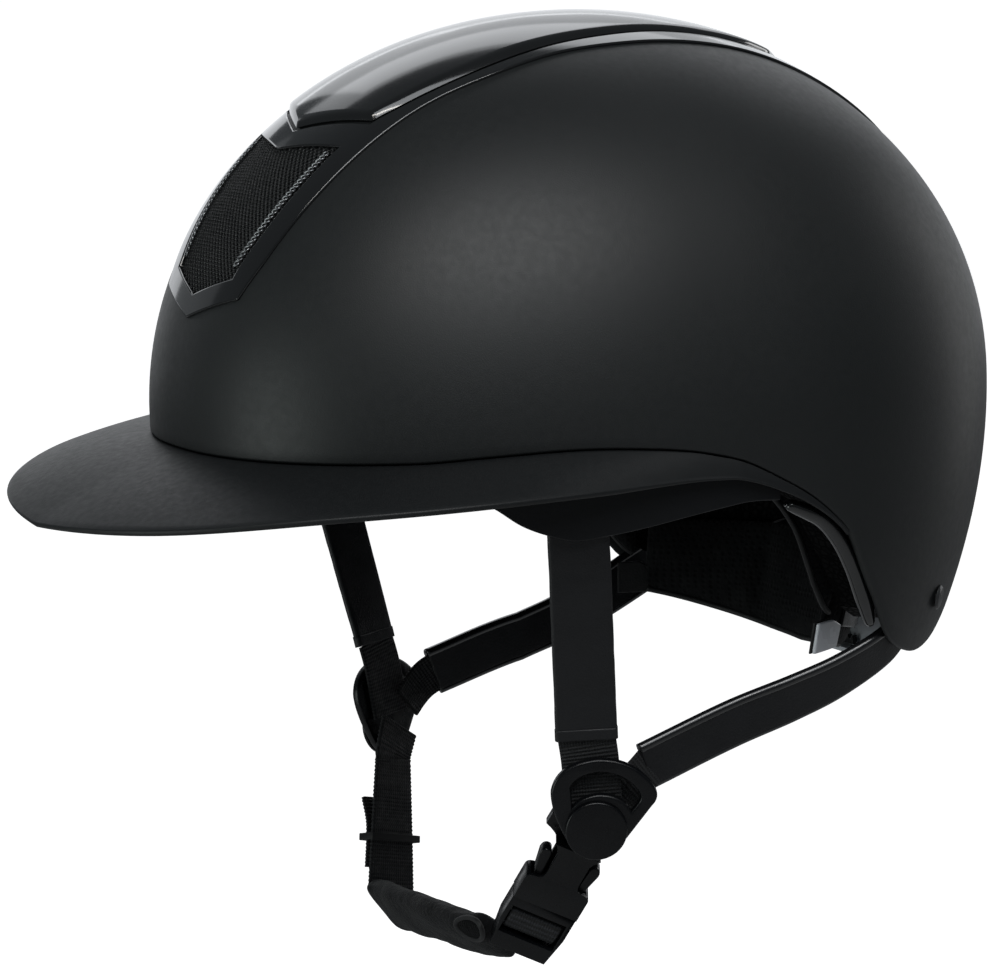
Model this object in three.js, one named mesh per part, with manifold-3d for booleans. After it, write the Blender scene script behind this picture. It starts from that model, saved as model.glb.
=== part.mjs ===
// Equestrian riding helmet: shell, wide peak, crown vent, liner, harness, buckle and dial cradle.
// Millimetres. +X is the wearer's left, -Y the front and +Z up. The origin is the middle of the
// head opening, at the height where the crown is widest.
import * as THREE from 'three';
import Module from 'manifold-3d';

const wasm = await Module();
wasm.setup();

// ---------------------------------------------------------------- driving dimensions

// Outer surface of the crown: a rounded dome, a little wider behind, on a tapering skirt.
const DOME = {
  halfWidth: 104.7,
  front: 136.5,
  back: 139.6,
  height: 119.8,
  planPower: 2.3,
  profilePower: 2.05,
  rearWiden: 0.056,
  skirtTaper: 0.032,
  rearTaper: 0.076,
  skirtDepth: 71.1,
};

// Depths below the dome's outer surface.
const SHELL_DEPTH = 2.4;
const EPS_DEPTH = 3.6;
const EPS_SIDE = 18;
const EPS_ENDS = 24;
const PAD_GAP = 1.4;
const PAD_THICKNESS = 6;

// Heights of the edges against the angle round from the front, in degrees, the same on both sides.
const CREASE = [[0, -4.6], [50, -4.2], [61, -3], [72, -2.4], [80, -3.6], [87, -6.2], [91, -10],
  [95.5, -17], [100, -24.3], [104, -32.6], [106.5, -38.9], [110, -53]];
const SHELL_EDGE = [[106.5, -38.9], [110, -53.4], [113, -63], [116, -72.2], [119, -77.6], [123.3, -81.6],
  [129.7, -84.2], [137, -82.4], [142, -78], [150, -70], [165, -62], [180, -60]];
const BAND_EDGE = [[0, -10.5], [60, -13.5], [84, -13], [89, -14], [92, -16], [95.5, -20.2],
  [100, -26.4], [104, -33.6]];
const NOTCH = [[0, -8], [60, -8], [85, -9], [93, -14.5], [97.5, -18.6], [102, -24], [108, -37], [112, -50],
  [115, -59], [120, -68], [132, -75], [142, -71], [152, -62], [165, -56], [180, -54]];
const VISOR_END = 97.5;
const CREASE_END = 100;

// The peak: how far its rim stands out from the dome, and the rim's height.
const PEAK_REACH = [[0, 48.8], [20, 45.5], [40, 37.8], [55, 29], [70, 15], [85, 4], [96, 0.6], [104, 0]];
const PEAK_RIM = [[0, -22.2], [20, -18.5], [40, -14], [55, -12.6], [70, -12.9], [85, -13.6],
  [90, -14.6], [92, -16.2], [95.5, -20.2], [100, -26.4], [104, -33.6]];
const PEAK_RIM_THICKNESS = 1.8;

// The crown insert, by the angle over the crown from the front, in degrees, and its half width.
const FRAME_WIDTH = [[19, 26.5], [26, 32], [39, 36.6], [57, 38.4], [69, 39.6], [82, 37.8], [97, 36.4],
  [107, 35.4], [117, 33.4], [126, 32.2], [136, 31], [146, 26], [154, 18]];
const FRAME_ENDS = { frontTip: 15.2, frontCorner: 19, backTip: 160, backCorner: 154 };
const MESH_WIDTH = [[22, 20], [28, 24], [36, 27.2], [44, 28.5]];
const MESH_ENDS = { frontTip: 18.9, frontCorner: 22.1, backTip: 40.6, backCorner: 43.6 };
const PANEL_WIDTH = [[50, 30.2], [55, 32.8], [63, 34.7], [71, 34.6], [83, 32.2], [98, 28.8], [110, 26],
  [118, 21.5], [124, 16]];
const PANEL_ENDS = { frontTip: 45.1, frontCorner: 50, backTip: 131, backCorner: 124 };
const REAR_MESH_WIDTH = [[136, 20], [142, 19], [150, 12]];
const REAR_MESH_ENDS = { frontTip: 140, frontCorner: 136, backTip: 154.5, backCorner: 150 };
const INSERT_GAP = 0.5;

// The temple flap's lower edge, and the glossy trim round the ear.
const FLAP_EDGE = [[58, -16], [61, -19.7], [64.5, -25], [68.3, -28.6], [72, -30.7], [76.3, -30],
  [81.2, -28.6], [88.6, -25.7], [92.6, -24.2], [97, -25]];
const FLAP = { from: 58, to: 96.5, depth: 3.2, thickness: 2.4 };

// Harness.
const SLEEVE_WIDTH = 19.4;
const REAR_SLEEVE_WIDTH = 15;
const SLEEVE_THICKNESS = 2.4;
const WEBBING_WIDTH = 18;
const WEBBING_THICKNESS = 1.4;
const DIVIDER_THICKNESS = 3;
const DISC = { radius: 9.8, thickness: 2.2 };

const RIGHT_LIFT = 5.5;

// Buckle: lengths along its axis from behind the middle of the divider's disc.
const BUCKLE = {
  halfWidth: 11,
  barHalfWidth: 12.4,
  waistHalfWidth: 5.6,
  thickness: 8.4,
  wall: 1.4,
  top: 4,
  waistFrom: 11.5,
  windowFrom: 14,
  windowTo: 24.5,
  mouth: 34.5,
  end: 54.4,
  play: 0.35,
};
const PRONG = { tip: 14.8, root: 35.2, innerX: 5.4, armX: 8.2, tabX: 10.3, halfThickness: 2.4 };

// Chin strap.
const CHIN_PAD = { nearWidth: 25, farWidth: 21.5, thickness: 10 };
const TAIL_OFFSET = 2.2;
const KEEPER = { width: 20.6, depth: 7.4, wall: 1, height: 2.4, up: 0.29 };

// Rear cradle and its dial.
const CRADLE = { outerDepth: 28.6, thickness: 1.2, from: 130, low: -91, high: -62 };
const QUARTER_PAD_END = 121.5;
const NAPE_PAD = { from: 124, depth: 30.2, thickness: 6, high: -58 };
const NAPE_LOW = [[124, -82], [145, -88], [165, -92], [180, -93.5]];
const CLIP = { from: 117, to: 126.5, depth: 26.4, thickness: 1.8, high: -73.2, low: -84 };
const HOUSING = { z: -88, halfWidth: 25, halfHeight: 10, front: 97.6, back: 105, wall: 1.6 };
const DIAL = { radius: 12.5, depth: 7.5, gap: 0.4, knurls: 20, knurlDepth: 0.8, shaftRadius: 2 };
const PINION = { tipRadius: 4.2, rootRadius: 3, teeth: 10, thickness: 2.6 };
const RACK = { from: -10, to: 30, tipOffset: 4.6, toothHeight: 1.1, height: 3, thickness: 1.8, pitch: 2.8 };

const RIVET = { headRadius: 4.2, shaftRadius: 1.8, tailRadius: 3.6, shaftTo: -8.8, clearance: 0.5 };

// ---------------------------------------------------------------- looks

const SHELL_MATTE = { color: 0x24282a, roughness: 0.55, metalness: 0 };
const VISOR_MATTE = { color: 0x202427, roughness: 0.6, metalness: 0 };
const GLOSS_BLACK = { color: 0x0d0f11, roughness: 0.12, metalness: 0 };
const VENT_MESH = { color: 0x16181a, roughness: 0.5, metalness: 0.2 };
const EPS_BLACK = { color: 0x1b1c1e, roughness: 0.9, metalness: 0 };
const LINING = { color: 0x17181b, roughness: 0.95, metalness: 0 };
const LEATHERETTE = { color: 0x1c1e21, roughness: 0.6, metalness: 0 };
const WEBBING = { color: 0x1a1c1f, roughness: 0.85, metalness: 0 };
const FLEECE = { color: 0x202125, roughness: 1, metalness: 0 };
const BUCKLE_PLASTIC = { color: 0x1d1f22, roughness: 0.45, metalness: 0 };
const GREY_PLASTIC = { color: 0xa9b0b6, roughness: 0.3, metalness: 0 };
const DARK_PLASTIC = { color: 0x17191b, roughness: 0.5, metalness: 0 };
const RIVET_METAL = { color: 0x2c2f31, roughness: 0.4, metalness: 0.6 };

// ---------------------------------------------------------------- helpers

const vec = (x, y, z) => new THREE.Vector3(x, y, z);
const { lerp, degToRad } = THREE.MathUtils;
const signedPower = (value, power) => Math.sign(value) * Math.abs(value) ** power;

// A smooth curve through [position, value] keys, flat outside them.
function curve(keys) {
  const last = keys.length - 1;
  const slope = (k) => {
    const before = keys[Math.max(k - 1, 0)];
    const after = keys[Math.min(k + 1, last)];
    return (after[1] - before[1]) / (after[0] - before[0]);
  };
  return (t) => {
    if (t <= keys[0][0]) return keys[0][1];
    if (t >= keys[last][0]) return keys[last][1];
    const k = keys.findIndex((key) => key[0] > t) - 1;
    const span = keys[k + 1][0] - keys[k][0];
    const s = (t - keys[k][0]) / span;
    const blend = s * s * (3 - 2 * s);
    const startPull = slope(k) * span * s * (1 - s) * (1 - s);
    const endPull = slope(k + 1) * span * s * s * (s - 1);
    return lerp(keys[k][1], keys[k + 1][1], blend) + startPull + endPull;
  };
}

// Turns the faces of a closed geometry outwards.
function outward(geometry) {
  const place = geometry.attributes.position;
  const index = geometry.index.array;
  const [a, b, c] = [vec(), vec(), vec()];
  let volume = 0;
  for (let i = 0; i < index.length; i += 3) {
    a.fromBufferAttribute(place, index[i]);
    b.fromBufferAttribute(place, index[i + 1]);
    c.fromBufferAttribute(place, index[i + 2]);
    volume += a.dot(b.cross(c));
  }
  if (volume < 0) {
    for (let i = 0; i < index.length; i += 3) {
      [index[i], index[i + 1]] = [index[i + 1], index[i]];
    }
  }
  return geometry;
}

// One closed body from points and triangles: points in one place are joined, empty faces dropped.
function closedBody(points, triangles) {
  const seen = new Map();
  const positions = [];
  const joined = points.map((point) => {
    const key = point.toArray().map((value) => Math.round(value * 1000)).join();
    if (!seen.has(key)) {
      seen.set(key, positions.length / 3);
      positions.push(...point.toArray());
    }
    return seen.get(key);
  });
  const index = [];
  for (const triangle of triangles) {
    const corners = triangle.map((corner) => joined[corner]);
    if (new Set(corners).size === 3) index.push(...corners);
  }
  const geometry = new THREE.BufferGeometry();
  geometry.setAttribute('position', new THREE.Float32BufferAttribute(positions, 3));
  geometry.setIndex(index);
  return outward(geometry);
}

// A closed sheet between two surfaces: point(u, v, side) with side 0 outside and 1 inside.
// A loop closes on itself round u, and a peak comes to a point at v = 1.
function sheet(point, uCount, vCount, { loop = false, peak = false } = {}) {
  const points = [];
  const triangles = [];
  const at = (i, j, side) => (side * (uCount + 1) + i) * (vCount + 1) + j;
  const quad = (a, b, c, d) => triangles.push([a, b, c], [a, c, d]);
  for (const side of [0, 1]) {
    for (let i = 0; i <= uCount; i += 1) {
      for (let j = 0; j <= vCount; j += 1) points.push(point(i / uCount, j / vCount, side));
    }
  }
  for (let i = 0; i < uCount; i += 1) {
    for (let j = 0; j < vCount; j += 1) {
      quad(at(i, j, 0), at(i + 1, j, 0), at(i + 1, j + 1, 0), at(i, j + 1, 0));
      quad(at(i, j, 1), at(i, j + 1, 1), at(i + 1, j + 1, 1), at(i + 1, j, 1));
    }
    quad(at(i, 0, 0), at(i, 0, 1), at(i + 1, 0, 1), at(i + 1, 0, 0));
    if (!peak) quad(at(i, vCount, 0), at(i + 1, vCount, 0), at(i + 1, vCount, 1), at(i, vCount, 1));
  }
  for (let j = 0; j < vCount && !loop; j += 1) {
    quad(at(0, j, 0), at(0, j + 1, 0), at(0, j + 1, 1), at(0, j, 1));
    quad(at(uCount, j, 0), at(uCount, j, 1), at(uCount, j + 1, 1), at(uCount, j + 1, 0));
  }
  return closedBody(points, triangles);
}

// A closed geometry moved to its place, and mirrored to the right side, as one closed body.
function placed(geometry, place = new THREE.Matrix4(), mirrored = false) {
  const loose = geometry.index ? geometry.toNonIndexed() : geometry;
  const corners = loose.attributes.position;
  const points = [];
  const triangles = [];
  for (let i = 0; i < corners.count; i += 1) {
    const point = vec().fromBufferAttribute(corners, i).applyMatrix4(place);
    points.push(mirrored ? rightSide(point) : point);
    if (i % 3 === 2) triangles.push([i - 2, i - 1, i]);
  }
  return closedBody(points, triangles);
}

function plate(outline, thickness, place, mirrored = false, curveSegments = 5) {
  const settings = { depth: thickness, bevelEnabled: false, curveSegments };
  return placed(new THREE.ExtrudeGeometry(outline, settings), place, mirrored);
}

function polygon(corners) {
  return new THREE.Shape(corners.map(([x, y]) => new THREE.Vector2(x, y)));
}

function block(low, high, place) {
  const size = high.map((value, k) => value - low[k]);
  const geometry = new THREE.BoxGeometry(...size);
  geometry.translate(...high.map((value, k) => (value + low[k]) / 2));
  return placed(geometry, place);
}

// A frame whose Z faces along facing, whose Y is as near up as it can be, and whose X is across.
function frameAt(origin, up, facing) {
  const z = facing.clone().normalize();
  const y = up.clone().addScaledVector(z, -up.dot(z)).normalize();
  const x = new THREE.Vector3().crossVectors(y, z);
  return new THREE.Matrix4().makeBasis(x, y, z).setPosition(origin);
}

function toSolid(geometry) {
  return new wasm.Manifold(new wasm.Mesh({
    numProp: 3,
    vertProperties: new Float32Array(geometry.attributes.position.array),
    triVerts: new Uint32Array(geometry.index.array),
  }));
}

function toGeometry(solid) {
  const mesh = solid.getMesh();
  const geometry = new THREE.BufferGeometry();
  const positions = new THREE.Float32BufferAttribute(mesh.vertProperties, 3);
  geometry.setAttribute('position', positions);
  geometry.setIndex(Array.from(mesh.triVerts));
  return geometry;
}

function cut(geometry, ...tools) {
  return toGeometry(tools.reduce((body, tool) => body.subtract(toSolid(tool)), toSolid(geometry)));
}

function join(geometry, ...others) {
  return toGeometry(others.reduce((body, other) => body.add(toSolid(other)), toSolid(geometry)));
}

const helmet = new THREE.Group();

function addPart(name, geometry, look) {
  const mesh = new THREE.Mesh(geometry, new THREE.MeshStandardMaterial(look));
  mesh.name = name;
  helmet.add(mesh);
}

// ---------------------------------------------------------------- the dome

// A point at an angle round from the front, in degrees (+ is the wearer's left), and a height.
function domePoint(fromFront, z, depth = 0) {
  const across = Math.sin(degToRad(fromFront));
  const along = -Math.cos(degToRad(fromFront));
  const rise = Math.min(1, Math.max(0, z) / (DOME.height - depth));
  const taper = DOME.skirtTaper + DOME.rearTaper * Math.max(0, along);
  const reach = z >= 0
    ? (1 - rise ** DOME.profilePower) ** (1 / DOME.profilePower)
    : 1 - taper * (z / DOME.skirtDepth) ** 2;
  const length = (along > 0 ? DOME.back : DOME.front) - depth;
  const width = (DOME.halfWidth - depth) * (1 + DOME.rearWiden * along);
  const x = width * signedPower(across, 2 / DOME.planPower) * reach;
  const y = length * signedPower(along, 2 / DOME.planPower) * reach;
  return vec(x, y, z);
}

// A point on the crown at a distance x across and an angle over the crown from the front.
function crownPoint(x, over, depth = 0) {
  const height = DOME.height - depth;
  const direction = [-Math.cos(degToRad(over)), Math.sin(degToRad(over))];
  const outside = (radius) => {
    const [y, z] = direction.map((value) => value * radius);
    if (z >= height) return true;
    const reach = (1 - (z / height) ** DOME.profilePower) ** (1 / DOME.profilePower);
    const length = ((y > 0 ? DOME.back : DOME.front) - depth) * reach;
    if (Math.abs(y) >= length) return true;
    const along = signedPower(y / length, DOME.planPower / 2);
    const width = (DOME.halfWidth - depth) * (1 + DOME.rearWiden * along) * reach;
    return Math.abs(x) > width * (1 - along * along) ** (1 / DOME.planPower);
  };
  let [near, far] = [0, 2 * DOME.height];
  for (let step = 0; step < 40; step += 1) {
    const middle = (near + far) / 2;
    if (outside(middle)) far = middle;
    else near = middle;
  }
  return vec(x, direction[0] * near, direction[1] * near);
}

const crease = curve(CREASE);
const shellEdge = curve(SHELL_EDGE);
const bandEdge = curve(BAND_EDGE);
const notch = curve(NOTCH);
const flapEdge = curve(FLAP_EDGE);
const peakReach = curve(PEAK_REACH);
const peakRim = curve(PEAK_RIM);

const shellBottom = (angle) => {
  const side = Math.abs(angle);
  return side < CREASE_END ? crease(side) : Math.min(crease(side), shellEdge(side));
};

const epsInner = (angle) => {
  const along = Math.abs(Math.cos(degToRad(angle)));
  return EPS_DEPTH + lerp(EPS_SIDE, EPS_ENDS, along * along);
};

// Height at v on the way from an edge up to the apex.
const climb = (low, v, depth) => low + (DOME.height - depth - low) * Math.sin((v * Math.PI) / 2);

// A piece of the crown surface with pointed ends, between two depths.
function crownPatch(width, ends, outer, inner, uCount, vCount, grow = 0) {
  const halfWidth = curve(width);
  const shift = THREE.MathUtils.radToDeg(grow / DOME.front);
  return sheet((u, v, side) => {
    const across = 2 * u - 1;
    const start = lerp(ends.frontTip, ends.frontCorner, Math.abs(across)) - shift;
    const end = lerp(ends.backTip, ends.backCorner, Math.abs(across)) + shift;
    const edgeAngle = lerp(ends.frontCorner - shift, ends.backCorner + shift, v);
    const x = across * (halfWidth(edgeAngle) + grow);
    return crownPoint(x, lerp(start, end, v), side ? inner : outer);
  }, uCount, vCount);
}

// ---------------------------------------------------------------- shell, peak and insert

function makeShell() {
  const shell = sheet((u, v, side) => {
    const angle = 360 * u - 180;
    const depth = side ? SHELL_DEPTH : 0;
    return domePoint(angle, climb(shellBottom(angle), v, depth), depth);
  }, 48, 11, { loop: true, peak: true });
  const opening = crownPatch(FRAME_WIDTH, FRAME_ENDS, -6, 7, 6, 18, INSERT_GAP);
  addPart('outer_shell', cut(shell, opening, rivetHole(false), rivetHole(true)), SHELL_MATTE);
}

// The peak and the band that sweeps back from it, as one moulding under the shell's crease.
function makeVisor() {
  const rows = 5;
  const section = (angle, v, side) => {
    const round = Math.abs(angle);
    const top = crease(round) - 1.2;
    const reach = peakReach(round);
    const rim = peakRim(round);
    const rimThickness = PEAK_RIM_THICKNESS * Math.min(1, reach / 10);
    if (side === 0) {
      const z = lerp(top, rim, 0.55 * v + 0.45 * v * v);
      return { z, out: reach * v, depth: 0 };
    }
    if (v === 0) return { z: top, out: 0, depth: SHELL_DEPTH };
    const q = (v - 1 / rows) / (1 - 1 / rows);
    const z = lerp(bandEdge(round), rim - rimThickness, 0.35 * q + 0.65 * q * q);
    return { z, out: lerp(0, reach + SHELL_DEPTH - 0.6, q), depth: SHELL_DEPTH };
  };
  const visor = sheet((u, v, side) => {
    const angle = lerp(-VISOR_END, VISOR_END, u);
    const { z, out, depth } = section(angle, v, side);
    const level = domePoint(angle, -DOME.skirtDepth / 6, depth);
    const next = domePoint(angle + 0.1, -DOME.skirtDepth / 6, depth);
    const outwards = vec(next.y - level.y, level.x - next.x, 0).normalize().negate();
    if (outwards.dot(level) < 0) outwards.negate();
    return domePoint(angle, z, depth).addScaledVector(outwards, out);
  }, 44, rows);
  addPart('visor', visor, VISOR_MATTE);
}

function makeInsert() {
  const blank = crownPatch(FRAME_WIDTH, FRAME_ENDS, -0.9, 2.4, 8, 26);
  const openings = [
    crownPatch(MESH_WIDTH, MESH_ENDS, -8, 8, 4, 5, INSERT_GAP),
    crownPatch(PANEL_WIDTH, PANEL_ENDS, -8, 8, 4, 14, INSERT_GAP),
    crownPatch(REAR_MESH_WIDTH, REAR_MESH_ENDS, -8, 8, 2, 3, INSERT_GAP),
  ];
  addPart('vent_frame', cut(blank, ...openings), GLOSS_BLACK);
  addPart('vent_mesh', crownPatch(MESH_WIDTH, MESH_ENDS, 0.5, 1.7, 4, 5), VENT_MESH);
  addPart('crown_panel', crownPatch(PANEL_WIDTH, PANEL_ENDS, -2.6, 1.6, 8, 14), GLOSS_BLACK);
  const rearMesh = crownPatch(REAR_MESH_WIDTH, REAR_MESH_ENDS, 0.5, 1.7, 2, 3);
  addPart('rear_vent_mesh', rearMesh, VENT_MESH);
}

// ---------------------------------------------------------------- liner and pads

function makeLiner() {
  const liner = sheet((u, v, side) => {
    const angle = 360 * u - 180;
    const depth = side ? epsInner(angle) : EPS_DEPTH;
    const domeDepth = v === 1 && side ? EPS_DEPTH + EPS_SIDE : depth;
    return domePoint(angle, climb(notch(Math.abs(angle)), v, domeDepth), domeDepth);
  }, 48, 8, { loop: true, peak: true });
  // Two air ways behind the front vent and one behind the rear vent go right through the foam.
  const airWays = [[-12, 34, 11, 13], [12, 34, 11, 13], [0, 145, 13, 9]].map(([x, over, wide, tall]) => {
    const middle = crownPoint(x, over);
    const place = frameAt(middle, vec(0, 0, 1), middle);
    return block([-wide / 2, -tall / 2, -42], [wide / 2, tall / 2, 12], place);
  });
  // Room behind each nape for the rear strap and its rivet.
  const strapRoom = [false, true].map((mirrored) => placed(
    block([-28, -24, -11], [9.5, 9, 2]), RIVET_PLACE, mirrored));
  addPart('eps_liner', cut(liner, ...airWays, ...strapRoom), EPS_BLACK);
}

function linerPad(from, to, low, high, uCount, vCount, thickness = PAD_THICKNESS) {
  return sheet((u, v, side) => {
    const angle = lerp(from, to, u);
    const z = lerp(low(Math.abs(angle)), high(Math.abs(angle)), v);
    return domePoint(angle, z, epsInner(angle) + PAD_GAP + (side ? thickness : 0));
  }, uCount, vCount);
}

function makePads() {
  const bandLow = (angle) => Math.max(notch(angle) - 1, -11);
  addPart('headband_pad', linerPad(-88, 88, bandLow, () => 24, 22, 2), LINING);
  for (const [side, sign] of [['left', 1], ['right', -1]]) {
    const low = (angle) => notch(angle) - 2;
    const high = (angle) => notch(angle) + 30;
    addPart(`rear_quarter_pad_${side}`, linerPad(sign * 93, sign * QUARTER_PAD_END, low, high, 6, 3), LINING);
  }
  const cap = sheet((u, v, side) => {
    const angle = 360 * u - 180;
    const depth = EPS_DEPTH + EPS_ENDS + PAD_GAP + (side ? 5 : 0);
    return domePoint(angle, climb(62, v, depth), depth);
  }, 20, 4, { loop: true, peak: true });
  addPart('crown_pad', cap, LINING);
}

// ---------------------------------------------------------------- temple flaps and ear trim

function makeFlaps() {
  for (const [side, sign] of [['left', 1], ['right', -1]]) {
    const flap = sheet((u, v, face) => {
      const round = lerp(FLAP.from, FLAP.to, u);
      const z = lerp(flapEdge(round), notch(round) - 2, v);
      return domePoint(sign * round, z, FLAP.depth + (face ? FLAP.thickness : 0));
    }, 14, 2);
    addPart(`temple_flap_${side}`, flap, VISOR_MATTE);
    const path = [[98.2, 24.2, -26.5], [96.8, 36.8, -32.6], [95.2, 44.1, -40.2], [93, 50, -49.4],
      [90.3, 55, -59.2], [87.6, 59, -67.3], [86.3, 60.6, -70.6]];
    const facing = [[0.8, -0.3, -0.5], [0.76, -0.42, -0.46], [0.74, -0.52, -0.38], [0.72, -0.6, -0.3],
      [0.7, -0.65, -0.22], [0.7, -0.65, -0.2], [0.7, -0.65, -0.2]];
    addPart(`ear_trim_${side}`, strap(path, facing, 3.8, 1.8, 9, sign < 0), GLOSS_BLACK);
  }
}

// ---------------------------------------------------------------- harness

// A flat strap along points on its middle line, facing the given ways.
function strap(path, facing, width, thickness, count, mirrored = false) {
  const line = new THREE.CatmullRomCurve3(path.map((point) => vec(...point)));
  const faces = new THREE.CatmullRomCurve3(facing.map((point) => vec(...point)));
  return sheet((u, v, side) => {
    const tangent = line.getTangent(u);
    const normal = faces.getPoint(u);
    normal.addScaledVector(tangent, -normal.dot(tangent)).normalize();
    const across = new THREE.Vector3().crossVectors(tangent, normal);
    const point = line.getPoint(u);
    point.addScaledVector(across, width * (v - 0.5));
    point.addScaledVector(normal, thickness * (0.5 - side));
    return mirrored ? rightSide(point) : point;
  }, count, 1);
}

// A frame whose Y runs exactly along up.
function frameAlong(origin, up, facing) {
  const y = up.clone().normalize();
  const z = facing.clone().addScaledVector(y, -facing.dot(y)).normalize();
  return new THREE.Matrix4().makeBasis(new THREE.Vector3().crossVectors(y, z), y, z).setPosition(origin);
}

const DIVIDER_FACING = vec(0.9, -0.4, -0.15);
const DIVIDER_MIDDLE = vec(74, -33.5, -126);
const DIVIDER_PLACE = frameAt(DIVIDER_MIDDLE, vec(0.12, -0.11, 0.985), DIVIDER_FACING);

const RIVET_PLACE = frameAt(vec(77.7, 91.1, -67.5), vec(0, 0, 1), vec(0.71, 0.68, -0.18));

function rivetHole(mirrored) {
  const radius = RIVET.shaftRadius + RIVET.clearance;
  const hole = new THREE.CylinderGeometry(radius, radius, 30, 12);
  hole.rotateX(Math.PI / 2);
  return placed(hole, RIVET_PLACE, mirrored);
}

// The right side's straps hang a little shorter, fully so by the divider.
function rightSide(point) {
  const down = THREE.MathUtils.clamp((-31 - point.z) / 64, 0, 1);
  const forward = THREE.MathUtils.clamp((20 - point.y) / 40, 0, 1);
  return vec(-point.x, point.y, point.z + RIGHT_LIFT * down * forward);
}

function onDivider(x, y, z) {
  return vec(x, y, z).applyMatrix4(DIVIDER_PLACE).toArray();
}

function dividerOutline() {
  const [arcFrom, arcTo] = [degToRad(-46), degToRad(-162)];
  const onDisc = (angle) => [DISC.radius * Math.cos(angle), DISC.radius * Math.sin(angle)];
  const outline = new THREE.Shape();
  outline.moveTo(...onDisc(arcTo));
  outline.quadraticCurveTo(-14, 8, -13, 14);
  outline.quadraticCurveTo(-10.5, 23, 2, 23.2);
  outline.quadraticCurveTo(13, 22.4, 18.6, 13.4);
  outline.quadraticCurveTo(21.4, 9, 18, 6);
  outline.lineTo(...onDisc(arcFrom));
  outline.absarc(0, 0, DISC.radius, arcFrom, arcTo, true);
  return outline;
}

function dividerWindow() {
  const window = new THREE.Shape();
  window.moveTo(-8.6, 7.4);
  window.lineTo(-8.8, 15);
  window.quadraticCurveTo(-6, 19.8, 2, 19.9);
  window.quadraticCurveTo(11, 19, 15.6, 11);
  window.quadraticCurveTo(17, 8.4, 15, 6.4);
  window.lineTo(12.6, 3.6);
  window.quadraticCurveTo(10, 10.6, 1, 11.4);
  window.quadraticCurveTo(-5.4, 11.2, -8.6, 7.4);
  return window;
}

function dividerRing(mirrored) {
  const at = (z) => new THREE.Matrix4().makeTranslation(0, 0, z).premultiply(DIVIDER_PLACE);
  const ring = plate(dividerOutline(), DIVIDER_THICKNESS, at(-1.4), mirrored);
  return cut(ring, plate(dividerWindow(), DIVIDER_THICKNESS + 4, at(-3.4), mirrored));
}

function makeHarness() {
  for (const [side, sign] of [['left', 1], ['right', -1]]) {
    const mirrored = sign < 0;
    const outwards = [[0.95, -0.3, -0.1], [0.92, -0.36, -0.2], [0.87, -0.42, -0.25]];
    const sleeve = [[90.4, -45.2, -16], [89.4, -44.2, -31], [75.2, -36.3, -97]];
    addPart(`front_sleeve_${side}`,
      strap(sleeve, outwards, SLEEVE_WIDTH, SLEEVE_THICKNESS, 7, mirrored), LEATHERETTE);
    const webbingFacing = [[0.87, -0.42, -0.25], [0.9, -0.4, -0.15], [0.9, -0.4, -0.15]];
    const webbing = [[74.9, -36, -98.6], onDivider(0, 22, -2.7), onDivider(0, 4, -2.7)];
    addPart(`front_webbing_${side}`,
      strap(webbing, webbingFacing, WEBBING_WIDTH, WEBBING_THICKNESS, 5, mirrored), WEBBING);
    const rearPath = [[72.4, 86.9, -59.5], [73.2, 86.5, -66.5], [77.3, 78.4, -74.5], [80.5, 69.8, -80],
      [80.5, 52, -88], [79, 36, -93.2], [77.5, 15, -98.7], [74, -15.4, -109.2]];
    const rearFacing = [[0.71, 0.68, -0.18], [0.71, 0.68, -0.18], [0.8, 0.55, -0.25], [0.95, 0.25, -0.15],
      [0.99, 0.05, -0.1], [0.99, 0, -0.1], [0.98, -0.1, -0.12], [0.95, -0.25, -0.15]];
    const rearSleeve = strap(rearPath, rearFacing, REAR_SLEEVE_WIDTH, SLEEVE_THICKNESS, 16, mirrored);
    addPart(`rear_sleeve_${side}`, cut(rearSleeve, rivetHole(mirrored)), LEATHERETTE);
    const rearWebbing = [[72.3, -20.6, -111.4], onDivider(8, 7.4, -5.8)];
    const rearWebbingFacing = [[0.93, -0.33, -0.15], [0.93, -0.33, -0.15]];
    addPart(`rear_webbing_${side}`,
      strap(rearWebbing, rearWebbingFacing, 13, WEBBING_THICKNESS, 3, mirrored), WEBBING);
    addPart(`divider_${side}`, dividerRing(mirrored), BUCKLE_PLASTIC);
    const disc = new THREE.CylinderGeometry(DISC.radius - 0.5, DISC.radius, DISC.thickness, 24);
    disc.rotateX(Math.PI / 2);
    disc.translate(0, 0, DIVIDER_THICKNESS - 1.4 + 0.3 + DISC.thickness / 2);
    addPart(`divider_disc_${side}`, placed(disc, DIVIDER_PLACE, mirrored), BUCKLE_PLASTIC);
    makeAnchors(side, sign);
  }
}

// What holds the straps: a plate under the foam in front, and a riveted washer behind.
function makeAnchors(side, sign) {
  const mirrored = sign < 0;
  const anchor = block([-10, -3.6, -1.5], [10, 0, 1.5]);
  const place = frameAt(vec(90.6, -45.2, -11.6), vec(0, 0, 1), vec(0.97, -0.22, -0.05));
  addPart(`front_anchor_${side}`, placed(anchor, place, mirrored), DARK_PLASTIC);
  const { shaftRadius, headRadius, tailRadius, shaftTo } = RIVET;
  const profile = [[0, shaftTo - 1.2], [tailRadius, shaftTo - 1.2], [tailRadius, shaftTo],
    [shaftRadius, shaftTo], [shaftRadius, 0.4], [headRadius, 0.4], [headRadius * 0.8, 1.3], [0, 1.7]];
  const rivet = new THREE.LatheGeometry(profile.map(([x, y]) => new THREE.Vector2(x, y)), 12);
  rivet.rotateX(Math.PI / 2);
  addPart(`rivet_${side}`, placed(rivet, RIVET_PLACE, mirrored), RIVET_METAL);
}

// ---------------------------------------------------------------- buckle

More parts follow.
